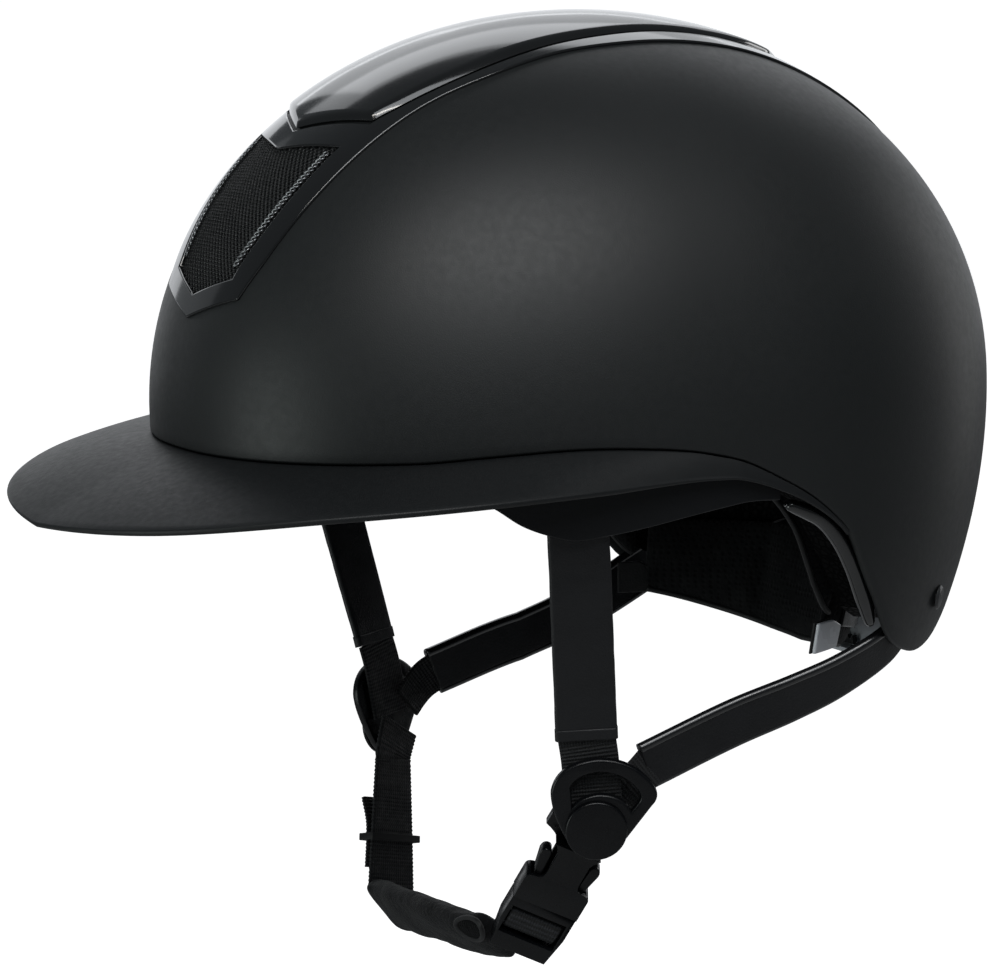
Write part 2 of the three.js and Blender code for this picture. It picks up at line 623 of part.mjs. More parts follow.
const BUCKLE_AXIS = vec(-25.7, -14.6, -43.5).normalize();
const BUCKLE_ORIGIN = DIVIDER_MIDDLE.clone().addScaledVector(DIVIDER_FACING.clone().normalize(), -6.5);
const BUCKLE_PLACE = frameAlong(BUCKLE_ORIGIN, BUCKLE_AXIS.clone().negate(), vec(0.8, -0.46, -0.38));

// A block in the buckle's frame: across, along its axis and through it.
function buckleBlock([x0, x1], [from, to], [z0, z1]) {
  return block([x0, -to, z0], [x1, -from, z1], BUCKLE_PLACE);
}

function bucklePlate(outline, low, high) {
  const shift = new THREE.Matrix4().makeTranslation(0, 0, low);
  return plate(outline, high - low, shift.premultiply(BUCKLE_PLACE));
}

// The socket: a bar to hang it by, a waist with a window each side, and a mouth.
function makeSocket() {
  const { halfWidth, barHalfWidth, waistHalfWidth, top, waistFrom, windowTo, mouth } = BUCKLE;
  const half = BUCKLE.thickness / 2;
  const outline = new THREE.Shape();
  outline.moveTo(-halfWidth, -mouth);
  outline.lineTo(halfWidth, -mouth);
  outline.lineTo(halfWidth, -windowTo - 2);
  outline.quadraticCurveTo(halfWidth, -windowTo, waistHalfWidth + 2, -windowTo);
  outline.quadraticCurveTo(waistHalfWidth, -windowTo, waistHalfWidth, -windowTo + 3);
  outline.lineTo(waistHalfWidth, -waistFrom - 3);
  outline.quadraticCurveTo(waistHalfWidth + 1, -waistFrom + 1, barHalfWidth, -waistFrom + 3);
  outline.lineTo(barHalfWidth, -top);
  outline.lineTo(-barHalfWidth, -top);
  outline.lineTo(-barHalfWidth, -waistFrom + 3);
  outline.quadraticCurveTo(-waistHalfWidth - 1, -waistFrom + 1, -waistHalfWidth, -waistFrom - 3);
  outline.lineTo(-waistHalfWidth, -windowTo + 3);
  outline.quadraticCurveTo(-waistHalfWidth, -windowTo, -waistHalfWidth - 2, -windowTo);
  outline.quadraticCurveTo(-halfWidth, -windowTo, -halfWidth, -windowTo - 2);
  const inside = half - BUCKLE.wall;
  const room = halfWidth - BUCKLE.wall;
  addPart('buckle_socket', cut(
    bucklePlate(outline, -half, half),
    buckleBlock([-room, room], [BUCKLE.windowFrom, mouth + 1], [-inside, inside]),
    buckleBlock([-15, 15], [0, waistFrom - 0.5], [-half + 3, half + 1]),
    buckleBlock([-9.4, 9.4], [top + 1.8, top + 4.4], [-half - 1, half]),
  ), BUCKLE_PLASTIC);
}

// The plug: a base with two slots that the webbing is threaded through, and a middle guide.
function makePlug() {
  const { halfWidth, mouth, end, play } = BUCKLE;
  const start = mouth + play;
  const base = polygon([[-halfWidth, -start], [halfWidth, -start], [halfWidth, -start - 9],
    [halfWidth - 1.6, -end], [-halfWidth + 1.6, -end], [-halfWidth, -start - 9]]);
  const slot = (from, to) => buckleBlock([-9.5, 9.5], [from, to], [-6, 6]);
  const guide = buckleBlock([-2.2, 2.2], [18, start + 1], [-1.8, 1.8]);
  const notchAt = (sign) => buckleBlock([sign * 6.6 - 2.6, sign * 6.6 + 2.6], [start - 1, start + 2.2],
    [-2.9, 2.9]);
  const plug = cut(bucklePlate(base, -3.6, 3.4), slot(38.2, 41.4), slot(45.4, 48.8),
    buckleBlock([-9.5, 9.5], [41, 46], [0.6, 6]), notchAt(-1), notchAt(1));
  addPart('buckle_plug', join(plug, guide), BUCKLE_PLASTIC);
}

// The sprung arms with the tabs that are squeezed, one each side of the guide.
function makeProngs() {
  const { tip, root, innerX, armX, tabX, halfThickness } = PRONG;
  for (const [name, sign] of [['front', -1], ['rear', 1]]) {
    const outline = new THREE.Shape();
    outline.moveTo(innerX, -root - 1);
    outline.lineTo(armX - 0.4, -root - 1);
    outline.lineTo(armX, -BUCKLE.windowTo - 3);
    outline.lineTo(armX + 0.7, -BUCKLE.windowTo + 0.4);
    outline.lineTo(tabX, -tip - 2.6);
    outline.quadraticCurveTo(tabX, -tip, armX, -tip);
    outline.quadraticCurveTo(innerX + 1.2, -tip, innerX + 1.2, -tip - 3);
    const geometry = plate(outline, 2 * halfThickness, new THREE.Matrix4());
    const side = new THREE.Matrix4().makeScale(sign, 1, 1).setPosition(0, 0, -halfThickness);
    addPart(`buckle_prong_${name}`, placed(geometry, side.premultiply(BUCKLE_PLACE)), BUCKLE_PLASTIC);
  }
}

// ---------------------------------------------------------------- chin strap

function onBuckle(x, along, z) {
  return vec(x, -along, z).applyMatrix4(BUCKLE_PLACE).toArray();
}

function directionOnBuckle(x, along, z) {
  return vec(x, -along, z).transformDirection(BUCKLE_PLACE).toArray();
}

// The far webbing twists a little on its way up from the chin pad.
const FAR_LOW = vec(-52.5, -44.6, -164.4);
const FAR_HIGH = vec(-62, -37.8, -131);
const FAR_FACING_LOW = vec(-0.96, -0.12, -0.1);
const FAR_FACING_HIGH = vec(-0.86, -0.42, -0.1);

function farPoint(up, out = 0) {
  const facing = FAR_FACING_LOW.clone().lerp(FAR_FACING_HIGH, up).normalize();
  return FAR_LOW.clone().lerp(FAR_HIGH, up).addScaledVector(facing, out).toArray();
}

function farStrap(heights, out, count) {
  const facing = heights.map((up) => FAR_FACING_LOW.clone().lerp(FAR_FACING_HIGH, up).toArray());
  const path = heights.map((up, k) => farPoint(up, out[k]));
  return strap(path, facing, WEBBING_WIDTH, WEBBING_THICKNESS, count);
}

function makeChinStrap() {
  const loop = [[39.6, -4.8], [39.6, -1], [40.4, 1.6], [43.4, 2.4], [46.4, 1.6], [47.2, -1], [47.2, -4.8]];
  const loopFacing = [[-1, 0], [-1, 0], [-0.7, 0.7], [0, 1], [0.7, 0.7], [1, 0], [1, 0]];
  addPart('ladder_webbing', strap(loop.map(([along, z]) => onBuckle(0, along, z)),
    loopFacing.map(([along, z]) => directionOnBuckle(0, along, z)), 17.6, WEBBING_THICKNESS, 20), WEBBING);
  const near = [onBuckle(0, 44.5, -6.2), onBuckle(0, 47.5, -6.2), onBuckle(0, 50.6, -6.4)];
  const nearFacing = [directionOnBuckle(0, 0, 1), directionOnBuckle(0, 0, 1), directionOnBuckle(0, 0, 1)];
  addPart('chin_webbing_near', strap(near, nearFacing, WEBBING_WIDTH, WEBBING_THICKNESS, 8), WEBBING);

  const middle = new THREE.CatmullRomCurve3([[35, -46.4, -167.6], [18, -49, -169.6], [-9, -50.8, -170.6],
    [-32, -50.4, -172.6], [-46, -49.2, -173], [-53, -48, -169.4]].map((point) => vec(...point)));
  const facing = new THREE.CatmullRomCurve3([[0.35, -0.7, -0.6], [0.1, -0.72, -0.69], [0, -0.72, -0.69],
    [-0.2, -0.7, -0.68], [-0.6, -0.6, -0.5], [-0.85, -0.45, -0.25]].map((point) => vec(...point)));
  const sides = 6;
  const pad = sheet((u, v, side) => {
    const around = Math.PI * v * (side ? -1 : 1);
    const tangent = middle.getTangent(u);
    const normal = facing.getPoint(u);
    normal.addScaledVector(tangent, -normal.dot(tangent)).normalize();
    const across = new THREE.Vector3().crossVectors(tangent, normal);
    const fullness = 0.75 + 0.25 * Math.sin(Math.PI * u) ** 0.5;
    const halfWidth = (lerp(CHIN_PAD.nearWidth, CHIN_PAD.farWidth, u) / 2) * fullness;
    const halfThickness = (CHIN_PAD.thickness / 2) * fullness;
    const point = middle.getPoint(u);
    point.addScaledVector(across, halfWidth * signedPower(Math.cos(around), 0.7));
    point.addScaledVector(normal, halfThickness * signedPower(Math.sin(around), 0.7));
    return point;
  }, 12, sides);
  addPart('chin_pad', pad, FLEECE);

  addPart('chin_webbing_far', farStrap([0, 0.5, 1], [0, 0, 0], 8), WEBBING);
  addPart('strap_tail', farStrap([0, 0.27, 0.45, 0.66], [TAIL_OFFSET, TAIL_OFFSET, 2.8, 5.4], 6), WEBBING);
  const upwards = FAR_HIGH.clone().sub(FAR_LOW).normalize();
  const joiningFacing = [[-0.88, -0.4, -0.1], [-0.88, -0.4, -0.1], [-0.9, -0.4, -0.15]];
  const joining = [1, 4].map((above) => FAR_HIGH.clone().addScaledVector(upwards, above).toArray());
  joining.push([-67.2, -32.4, -119.5]);
  addPart('divider_webbing', strap(joining, joiningFacing, WEBBING_WIDTH - 1, WEBBING_THICKNESS, 4), WEBBING);
  makeKeeper();
}

// The rubber loop that holds the strap's tail against the webbing.
function makeKeeper() {
  const axis = FAR_HIGH.clone().sub(FAR_LOW);
  const facing = FAR_FACING_LOW.clone().lerp(FAR_FACING_HIGH, KEEPER.up);
  const place = frameAlong(FAR_LOW.clone().lerp(FAR_HIGH, KEEPER.up), axis, facing);
  const { width, depth, wall, height } = KEEPER;
  const centre = TAIL_OFFSET / 2;
  const ring = block([-width / 2, -height / 2, centre - depth / 2],
    [width / 2, height / 2, centre + depth / 2], place);
  const hole = block([-width / 2 + wall, -height, centre - depth / 2 + wall],
    [width / 2 - wall, height, centre + depth / 2 - wall], place);
  addPart('keeper', cut(ring, hole), BUCKLE_PLASTIC);
}

// ---------------------------------------------------------------- rear cradle and dial

function makeCradle() {
  const napeLow = curve(NAPE_LOW);
  const band = (from, depth, thickness, low, high, uCount, vCount) => sheet((u, v, side) => {
    const angle = lerp(from, 360 - from, u);
    const round = Math.min(angle, 360 - angle);
    const z = lerp(low(round), high, v);
    return domePoint(angle, z, depth + (side ? thickness : 0));
  }, uCount, vCount);
  addPart('nape_cradle', band(CRADLE.from, CRADLE.outerDepth, CRADLE.thickness,
    (round) => Math.max(CRADLE.low, napeLow(round) + 6), CRADLE.high, 12, 2), DARK_PLASTIC);
  for (const [side, sign] of [['left', 1], ['right', -1]]) {
    const clip = sheet((u, v, face) => {
      const round = lerp(CLIP.from, CLIP.to, u);
      const z = lerp(CLIP.low, Math.min(CLIP.high, notch(round) - 3), v);
      return domePoint(sign * round, z, CLIP.depth + (face ? CLIP.thickness : 0));
    }, 4, 2);
    addPart(`cradle_clip_${side}`, clip, GREY_PLASTIC);
  }
  addPart('nape_pad', band(NAPE_PAD.from, NAPE_PAD.depth, NAPE_PAD.thickness,
    napeLow, NAPE_PAD.high, 14, 3), LINING);
}

function housingBlock([x0, x1], [y0, y1], [z0, z1]) {
  return block([x0, y0, HOUSING.z + z0], [x1, y1, HOUSING.z + z1]);
}

function makeAdjuster() {
  const { halfWidth, halfHeight, front, back, wall, z } = HOUSING;
  const corner = 5;
  const outline = new THREE.Shape();
  outline.moveTo(-halfWidth + corner, -halfHeight);
  outline.lineTo(halfWidth - corner, -halfHeight);
  outline.absarc(halfWidth - corner, -halfHeight + corner, corner, -Math.PI / 2, 0, false);
  outline.absarc(halfWidth - corner, halfHeight - corner, corner, 0, Math.PI / 2, false);
  outline.absarc(-halfWidth + corner, halfHeight - corner, corner, Math.PI / 2, Math.PI, false);
  outline.absarc(-halfWidth + corner, -halfHeight + corner, corner, Math.PI, 1.5 * Math.PI, false);
  // Local X across, local Y up, local Z to the back.
  const upright = new THREE.Matrix4().makeBasis(vec(-1, 0, 0), vec(0, 0, 1), vec(0, 1, 0));
  const at = (y) => upright.clone().setPosition(0, y, z);
  const shell = plate(outline, back - front, at(front), false, 6);
  const pocket = housingBlock([-halfWidth - 1, halfWidth + 1], [front - 1, back - wall],
    [-halfHeight + wall, halfHeight - wall]);
  const shaftHole = new THREE.CylinderGeometry(DIAL.shaftRadius + 0.4, DIAL.shaftRadius + 0.4, 8, 20);
  shaftHole.translate(0, back, z);
  addPart('adjuster_housing', cut(shell, pocket, placed(shaftHole)), GREY_PLASTIC);

  const knobFront = back + DIAL.gap;
  const knurled = polygon(Array.from({ length: 2 * DIAL.knurls }, (_, k) => {
    const radius = DIAL.radius - (k % 2 ? DIAL.knurlDepth : 0);
    const angle = (Math.PI * k) / DIAL.knurls;
    return [radius * Math.cos(angle), radius * Math.sin(angle)];
  }));
  const pinionBack = back - wall - 0.6;
  const shaft = new THREE.CylinderGeometry(DIAL.shaftRadius, DIAL.shaftRadius, knobFront - pinionBack + 1, 16);
  shaft.translate(0, (knobFront + pinionBack + 1) / 2, z);
  addPart('dial_knob', join(plate(knurled, DIAL.depth, at(knobFront)), placed(shaft)), GREY_PLASTIC);

  const gear = polygon(Array.from({ length: 4 * PINION.teeth }, (_, k) => {
    const radius = k % 4 < 2 ? PINION.tipRadius : PINION.rootRadius;
    const angle = (Math.PI * (k + 0.5)) / (2 * PINION.teeth);
    return [radius * Math.cos(angle), radius * Math.sin(angle)];
  }));
  const gearBack = pinionBack - 0.3;
  addPart('dial_pinion', plate(gear, PINION.thickness, at(gearBack - PINION.thickness)), DARK_PLASTIC);

  for (const [side, sign] of [['left', 1], ['right', -1]]) {
    const teeth = [];
    const { from, to, tipOffset, toothHeight, height, pitch } = RACK;
    for (let x = from; x < to - pitch; x += pitch) {
      teeth.push([x, tipOffset], [x + pitch * 0.3, tipOffset], [x + pitch * 0.5, tipOffset + toothHeight],
        [x + pitch * 0.8, tipOffset + toothHeight]);
    }
    const bar = polygon([...teeth, [to, tipOffset + toothHeight], [to, tipOffset + height],
      [from, tipOffset + height]]);
    const turned = upright.clone().multiply(new THREE.Matrix4().makeScale(-sign, sign, 1));
    turned.setPosition(0, gearBack - RACK.thickness - 0.3, z);
    addPart(`rack_${side}`, plate(bar, RACK.thickness, turned), DARK_PLASTIC);
  }
}

makeShell();
makeVisor();
makeInsert();
makeLiner();
makePads();
makeFlaps();
makeHarness();
makeSocket();
makePlug();
makeProngs();
makeChinStrap();
makeCradle();
makeAdjuster();

export default helmet;
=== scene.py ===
import math

import bmesh
import bpy
import numpy as np
from mathutils import Matrix, Vector, noise


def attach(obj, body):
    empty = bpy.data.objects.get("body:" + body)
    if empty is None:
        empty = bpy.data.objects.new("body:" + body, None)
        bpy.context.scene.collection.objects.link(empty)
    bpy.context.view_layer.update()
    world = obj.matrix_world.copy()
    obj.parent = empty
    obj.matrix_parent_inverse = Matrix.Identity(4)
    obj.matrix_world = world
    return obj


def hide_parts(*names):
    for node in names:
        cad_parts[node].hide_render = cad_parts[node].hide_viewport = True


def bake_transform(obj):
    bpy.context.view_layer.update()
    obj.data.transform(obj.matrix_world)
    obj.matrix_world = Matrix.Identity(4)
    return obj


# A riding helmet with a wide peak. Shapes are worked out in millimetres and stored in metres.
# +X is the wearer's left, -Y the front and +Z up.
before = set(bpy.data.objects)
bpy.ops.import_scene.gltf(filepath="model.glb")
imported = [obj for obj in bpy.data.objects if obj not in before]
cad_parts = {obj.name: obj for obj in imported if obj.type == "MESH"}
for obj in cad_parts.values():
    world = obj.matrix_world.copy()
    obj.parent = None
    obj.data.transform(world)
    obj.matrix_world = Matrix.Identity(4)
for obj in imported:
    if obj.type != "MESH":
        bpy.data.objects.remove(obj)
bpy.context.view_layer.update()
MM = 0.001
SIDES = (("left", 1), ("right", -1))

# ------------------------------------------------------------------ dimensions, as in the CAD

HALF_WIDTH, FRONT, BACK, HEIGHT = 104.7, 136.5, 139.6, 119.8
PLAN_POWER, PROFILE_POWER = 2.3, 2.05
REAR_WIDEN, SKIRT_TAPER, REAR_TAPER, SKIRT_DEPTH = 0.056, 0.032, 0.076, 71.1
SHELL_DEPTH = 2.4
EPS_DEPTH, EPS_SIDE, EPS_ENDS = 3.6, 18.0, 24.0
PAD_GAP, PAD_THICKNESS = 1.4, 6.0
RIGHT_LIFT = 5.5

# Edges of the shell and what is under it: (angle round from the front, height).
CREASE = [(0, -4.6), (50, -4.2), (61, -3), (72, -2.4), (80, -3.6), (87, -6.2), (91, -10),
          (95.5, -17), (100, -24.3), (104, -32.6), (106.5, -38.9), (110, -53)]
SHELL_EDGE = [(106.5, -38.9), (110, -53.4), (113, -63), (116, -72.2), (119, -77.6), (123.3, -81.6),
              (129.7, -84.2), (137, -82.4), (142, -78), (150, -70), (165, -62), (180, -60)]
BAND_EDGE = [(0, -10.5), (60, -13.5), (84, -13), (89, -14), (92, -16), (95.5, -20.2), (100, -26.4),
             (104, -33.6), (106.5, -39.8)]
NOTCH = [(0, -8), (60, -8), (85, -9), (93, -14.5), (97.5, -18.6), (102, -24), (108, -37), (112, -50),
         (115, -59), (120, -68), (132, -75), (142, -71), (152, -62), (165, -56), (180, -54)]
# The peak: how far it stands out of the dome, and the height of its rim.
PEAK_REACH = [(0, 48.8), (20, 45.5), (40, 37.8), (55, 29), (70, 15), (85, 4), (96, 0.6), (104, 0)]
PEAK_RIM = [(0, -22.2), (20, -18.5), (40, -14), (55, -12.6), (70, -12.9), (85, -13.6), (90, -14.6),
            (92, -16.2), (95.5, -20.2), (100, -26.4), (104, -33.6), (106.5, -39.8)]
# The crown's insert: (angle over the crown from the front, half width).
FRAME_WIDTH = [(19, 26.5), (26, 32), (39, 36.6), (57, 38.4), (69, 39.6), (82, 37.8), (97, 36.4),
               (107, 35.4), (117, 33.4), (126, 32.2), (136, 31), (146, 26), (154, 18)]
MESH_WIDTH = [(22, 20), (28, 24), (36, 27.2), (44, 28.5)]
PANEL_WIDTH = [(50, 30.2), (55, 32.8), (63, 34.7), (71, 34.6), (83, 32.2), (98, 28.8), (110, 26),
               (118, 21.5), (124, 16)]
REAR_MESH_WIDTH = [(136, 20), (142, 19), (150, 12)]
# Lower edges of the temple flaps and of the nape pad: (angle round from the front, height).
FLAP_EDGE = [(58, -16), (61, -19.7), (64.5, -25), (68.3, -28.6), (72, -30.7), (76.3, -30),
             (81.2, -28.6), (88.6, -25.7), (92.6, -24.2), (97, -25)]
NAPE_LOW = [(124, -82), (145, -88), (165, -92), (180, -93.5)]


def keyed(keys):
    """A smooth curve through (position, value) keys, flat outside them."""
    at = np.array([k[0] for k in keys], float)
    value = np.array([k[1] for k in keys], float)
    slope = np.empty_like(value)
    for k in range(len(at)):
        a, b = max(k - 1, 0), min(k + 1, len(at) - 1)
        slope[k] = (value[b] - value[a]) / (at[b] - at[a])

    def curve(t):
        t = np.clip(np.asarray(t, float), at[0], at[-1])
        k = np.clip(np.searchsorted(at, t, side="right") - 1, 0, len(at) - 2)
        span = at[k + 1] - at[k]
        s = (t - at[k]) / span
        blend = s * s * (3 - 2 * s)
        pull = slope[k] * span * s * (1 - s) ** 2 + slope[k + 1] * span * s * s * (s - 1)
        return value[k] + (value[k + 1] - value[k]) * blend + pull

    return curve


crease, shell_edge, band_edge, notch = map(keyed, (CREASE, SHELL_EDGE, BAND_EDGE, NOTCH))
peak_reach, peak_rim, flap_edge = map(keyed, (PEAK_REACH, PEAK_RIM, FLAP_EDGE))
frame_width, mesh_width, panel_width = map(keyed, (FRAME_WIDTH, MESH_WIDTH, PANEL_WIDTH))
rear_mesh_width, nape_low = keyed(REAR_MESH_WIDTH), keyed(NAPE_LOW)


def signed_power(value, power):
    return np.sign(value) * np.abs(value) ** power


def dome(angle, z, depth=0.0):
    """Points on the dome: the angle round from the front in degrees (+ left), height and depth."""
    angle, z, depth = np.broadcast_arrays(*(np.asarray(a, float) for a in (angle, z, depth)))
    across, along = np.sin(np.radians(angle)), -np.cos(np.radians(angle))
    rise = np.clip(np.maximum(z, 0) / (HEIGHT - depth), 0, 1)
    taper = SKIRT_TAPER + REAR_TAPER * np.maximum(0, along)
    upper = (1 - rise ** PROFILE_POWER) ** (1 / PROFILE_POWER)
    reach = np.where(z >= 0, upper, 1 - taper * (z / SKIRT_DEPTH) ** 2)
    length = np.where(along > 0, BACK, FRONT) - depth
    width = (HALF_WIDTH - depth) * (1 + REAR_WIDEN * along)
    x = width * signed_power(across, 2 / PLAN_POWER) * reach
    y = length * signed_power(along, 2 / PLAN_POWER) * reach
    return np.stack([x, y, z], -1)


def crown(x, over, depth=0.0):
    """Points on the crown: the distance x across and the angle over the crown from the front."""
    x, over, depth = np.broadcast_arrays(*(np.asarray(a, float) for a in (x, over, depth)))
    height = HEIGHT - depth
    dy, dz = -np.cos(np.radians(over)), np.sin(np.radians(over))
    near, far = np.zeros(x.shape), np.full(x.shape, 2 * HEIGHT)
    for _ in range(42):
        mid = (near + far) / 2
        y, z = dy * mid, dz * mid
        reach = np.maximum(1e-9, 1 - np.clip(z / height, 0, 1) ** PROFILE_POWER) ** (1 / PROFILE_POWER)
        length = (np.where(y > 0, BACK, FRONT) - depth) * reach
        ratio = np.clip(y / length, -1, 1)
        along = signed_power(ratio, PLAN_POWER / 2)
        width = (HALF_WIDTH - depth) * (1 + REAR_WIDEN * along) * reach
        limit = width * (1 - along * along) ** (1 / PLAN_POWER)
        out = (z >= height) | (np.abs(y) >= length) | (np.abs(x) > limit)
        far = np.where(out, mid, far)
        near = np.where(out, near, mid)
    return np.stack([x, dy * near, dz * near], -1)


def eps_inner(angle):
    return EPS_DEPTH + EPS_SIDE + (EPS_ENDS - EPS_SIDE) * np.cos(np.radians(angle)) ** 2


# ------------------------------------------------------------------ meshes

def linked(name, data):
    obj = bpy.data.objects.new(name, data)
    bpy.context.scene.collection.objects.link(obj)
    return obj


def unit(vectors):
    return vectors / np.linalg.norm(vectors, axis=-1, keepdims=True)


def square_to(along, lean):
    """Unit vectors square to the unit vectors along, leaning the given way."""
    return unit(lean - along * (lean * along).sum(-1, keepdims=True))


def tangents(line):
    return unit(np.gradient(line, axis=0))


def run_along(points):
    """The distance run at each point of a line."""
    return np.concatenate([[0], np.cumsum(np.linalg.norm(np.diff(points, axis=0), axis=1))])


def smooth_faces(mesh):
    mesh.polygons.foreach_set("use_smooth", [True] * len(mesh.polygons))


def make(name, points, faces, uvs=None):
    """An object from points in millimetres. uvs holds one (u, v) in millimetres per face corner."""
    mesh = bpy.data.meshes.new(name)
    mesh.from_pydata((np.asarray(points, float) * MM).tolist(), [], [list(map(int, f)) for f in faces])
    if uvs is not None:
        layer = mesh.uv_layers.new(name="UVMap")
        layer.data.foreach_set("uv", np.asarray(uvs, np.float32).reshape(-1))
    mesh.validate()
    smooth_faces(mesh)
    mesh.update()
    return linked(name, mesh)


def grid(name, points, uv=None, closed=False, caps=False, keep=None):
    """A grid surface from points[i][j]; closed joins the last j to the first, and caps close its ends."""
    points = np.asarray(points, float)
    ni, nj = points.shape[:2]
    corners = []
    for i in range(ni - 1):
        for j in range(nj if closed else nj - 1):
            if keep is None or keep[i][j]:
                corners.append([(i, j), (i + 1, j), (i + 1, j + 1), (i, j + 1)])
    if caps:
        corners.append([(0, j) for j in range(nj)])
        corners.append([(ni - 1, j) for j in reversed(range(nj))])
    faces = [[i * nj + j % nj for i, j in face] for face in corners]
    uvs = [uv(i, j) for face in corners for i, j in face] if uv else None
    obj = make(name, points.reshape(-1, 3), faces, uvs)
    face_outwards(obj)
    return obj


def face_outwards(obj):
    work = bmesh.new()
    work.from_mesh(obj.data)
    bmesh.ops.remove_doubles(work, verts=work.verts, dist=1e-6)
    bmesh.ops.recalc_face_normals(work, faces=work.faces)
    work.to_mesh(obj.data)
    work.free()
    obj.data.update()


def modifier(obj, kind, **values):
    mod = obj.modifiers.new(kind.title(), kind)
    for key, value in values.items():
        setattr(mod, key, value)
    return mod


def bevel_edges(obj, width, segments, angle):
    modifier(obj, "BEVEL", width=width * MM, segments=segments, limit_method="ANGLE",
             angle_limit=math.radians(angle), harden_normals=True)


def soften(obj, width, segments, angle):
    bevel_edges(obj, width, segments, angle)
    modifier(obj, "WEIGHTED_NORMAL", keep_sharp=True)


def thicken(obj, thickness, offset=-1.0):
    modifier(obj, "SOLIDIFY", thickness=thickness * MM, offset=offset, use_even_offset=True)


def dome_plate(name, angles, span, outer, inner, count, bevel, segments, sign=1):
    """A closed plate between two depths of the dome, over span(angle) in height."""
    rings = []
    for angle in angles:
        low, high = span(angle)
        rise = low + (high - low) * np.linspace(0, 1, count)
        rings.append(np.concatenate([dome(sign * angle, rise, outer), dome(sign * angle, rise[::-1], inner)]))
    obj = grid(name, rings, closed=True, caps=True)
    soften(obj, bevel, segments, 50)
    return obj


def settle(obj, body, slot, material, *nodes):
    """Gives a piece its material and body, and hides the CAD nodes that it stands for. The slot is not used.
    """
    obj.data.materials.clear()
    obj.data.materials.append(material)
    if body:
        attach(obj, body)
    if nodes:
        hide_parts(*nodes)
    return obj


def merged(name, objects):
    """Several mesh objects, each with one material, as one object."""
    work = bmesh.new()
    for o in objects:
        work.from_mesh(o.data)
    mesh = bpy.data.meshes.new(name)
    work.to_mesh(mesh)
    work.free()
    for o in objects:
        bpy.data.objects.remove(o)
    return linked(name, mesh)


def refined(node, body, slot, material, bevel, segments=3):
    """A copy of a hard CAD node with rounded edges."""
    work = bmesh.new()
    work.from_mesh(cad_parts[node].data)
    bmesh.ops.remove_doubles(work, verts=work.verts, dist=2e-6)
    bmesh.ops.dissolve_limit(work, angle_limit=math.radians(1.5), verts=work.verts, edges=work.edges)
    mesh = bpy.data.meshes.new(node + "_visual")
    work.to_mesh(mesh)
    work.free()
    smooth_faces(mesh)
    obj = linked(node + "_visual", mesh)
    bevel_edges(obj, bevel, segments, 30)
    return settle(obj, body, slot, material, node)


def tube(name, path, radius, segments=10):
    """A round tube along points in millimetres."""
    path = np.asarray(path, float)
    tangent = tangents(path)
    normal = np.cross(tangent[0], [0.31, 0.52, 0.79])
    turn = np.linspace(0, 2 * math.pi, segments, endpoint=False)[:, None]
    rings = []
    for p, t in zip(path, tangent):
        normal = square_to(t, normal)
        rings.append(p + radius * (np.cos(turn) * normal + np.sin(turn) * np.cross(t, normal)))
    return grid(name, rings, closed=True, caps=True)


def catmull(points, count):
    """A centripetal Catmull-Rom line through points, evenly spaced."""
    pts = [np.array(p, float) for p in points]
    if len(pts) == 2:
        t = np.linspace(0, 1, count)[:, None]
        return pts[0] * (1 - t) + pts[1] * t
    ext = [2 * pts[0] - pts[1], *pts, 2 * pts[-1] - pts[-2]]
    line = []
    for k in range(len(pts) - 1):
        p0, p1, p2, p3 = ext[k:k + 4]
        d = [max(1e-4, np.linalg.norm(b - a) ** 0.5) for a, b in ((p0, p1), (p1, p2), (p2, p3))]
        t1 = ((p1 - p0) / d[0] - (p2 - p0) / (d[0] + d[1]) + (p2 - p1) / d[1]) * d[1]
        t2 = ((p2 - p1) / d[1] - (p3 - p1) / (d[1] + d[2]) + (p3 - p2) / d[2]) * d[1]
        for s in np.linspace(0, 1, 24, endpoint=k == len(pts) - 2):
            h = (2 * s**3 - 3 * s**2 + 1, s**3 - 2 * s**2 + s, -2 * s**3 + 3 * s**2, s**3 - s**2)
            line.append(h[0] * p1 + h[1] * t1 + h[2] * p2 + h[3] * t2)
    line = np.array(line)
    run = run_along(line)
    even = np.linspace(0, run[-1], count)
    return np.stack([np.interp(even, run, line[:, a]) for a in range(3)], -1)


def right_side(points):
    """Points mirrored to the right, where the harness hangs a little higher towards the front."""
    top, drop, behind, blend = -31, 64, 20, 40
    p = np.array(points, float)
    down = np.clip((top - p[..., 2]) / drop, 0, 1)
    forward = np.clip((behind - p[..., 1]) / blend, 0, 1)
    return np.stack([-p[..., 0], p[..., 1], p[..., 2] + RIGHT_LIFT * down * forward], -1)


def strap_frames(path, facing, count):
    line = catmull(path, count)
    tangent = tangents(line)
    normal = square_to(tangent, catmull(facing, count))
    return line, np.cross(tangent, normal), normal


def strap_profile(width, thickness, across):
    """A closed rounded section as (across, out)."""
    corner = 4
    r = min(thickness * 0.48, 1.3)
    points = []
    for cx, cy, a0 in ((width / 2 - r, thickness / 2 - r, 0), (-width / 2 + r, thickness / 2 - r, 90),
                       (-width / 2 + r, -thickness / 2 + r, 180), (width / 2 - r, -thickness / 2 + r, 270)):
        for a in np.linspace(a0, a0 + 90, corner + 1):
            points.append((cx + r * math.cos(math.radians(a)), cy + r * math.sin(math.radians(a))))
        if a0 in (0, 180):
            sign = 1 if a0 == 0 else -1
            for s in np.linspace(1, -1, across + 1)[1:-1]:
                points.append((sign * s * (width / 2 - r), sign * thickness / 2))
    return np.array(points)


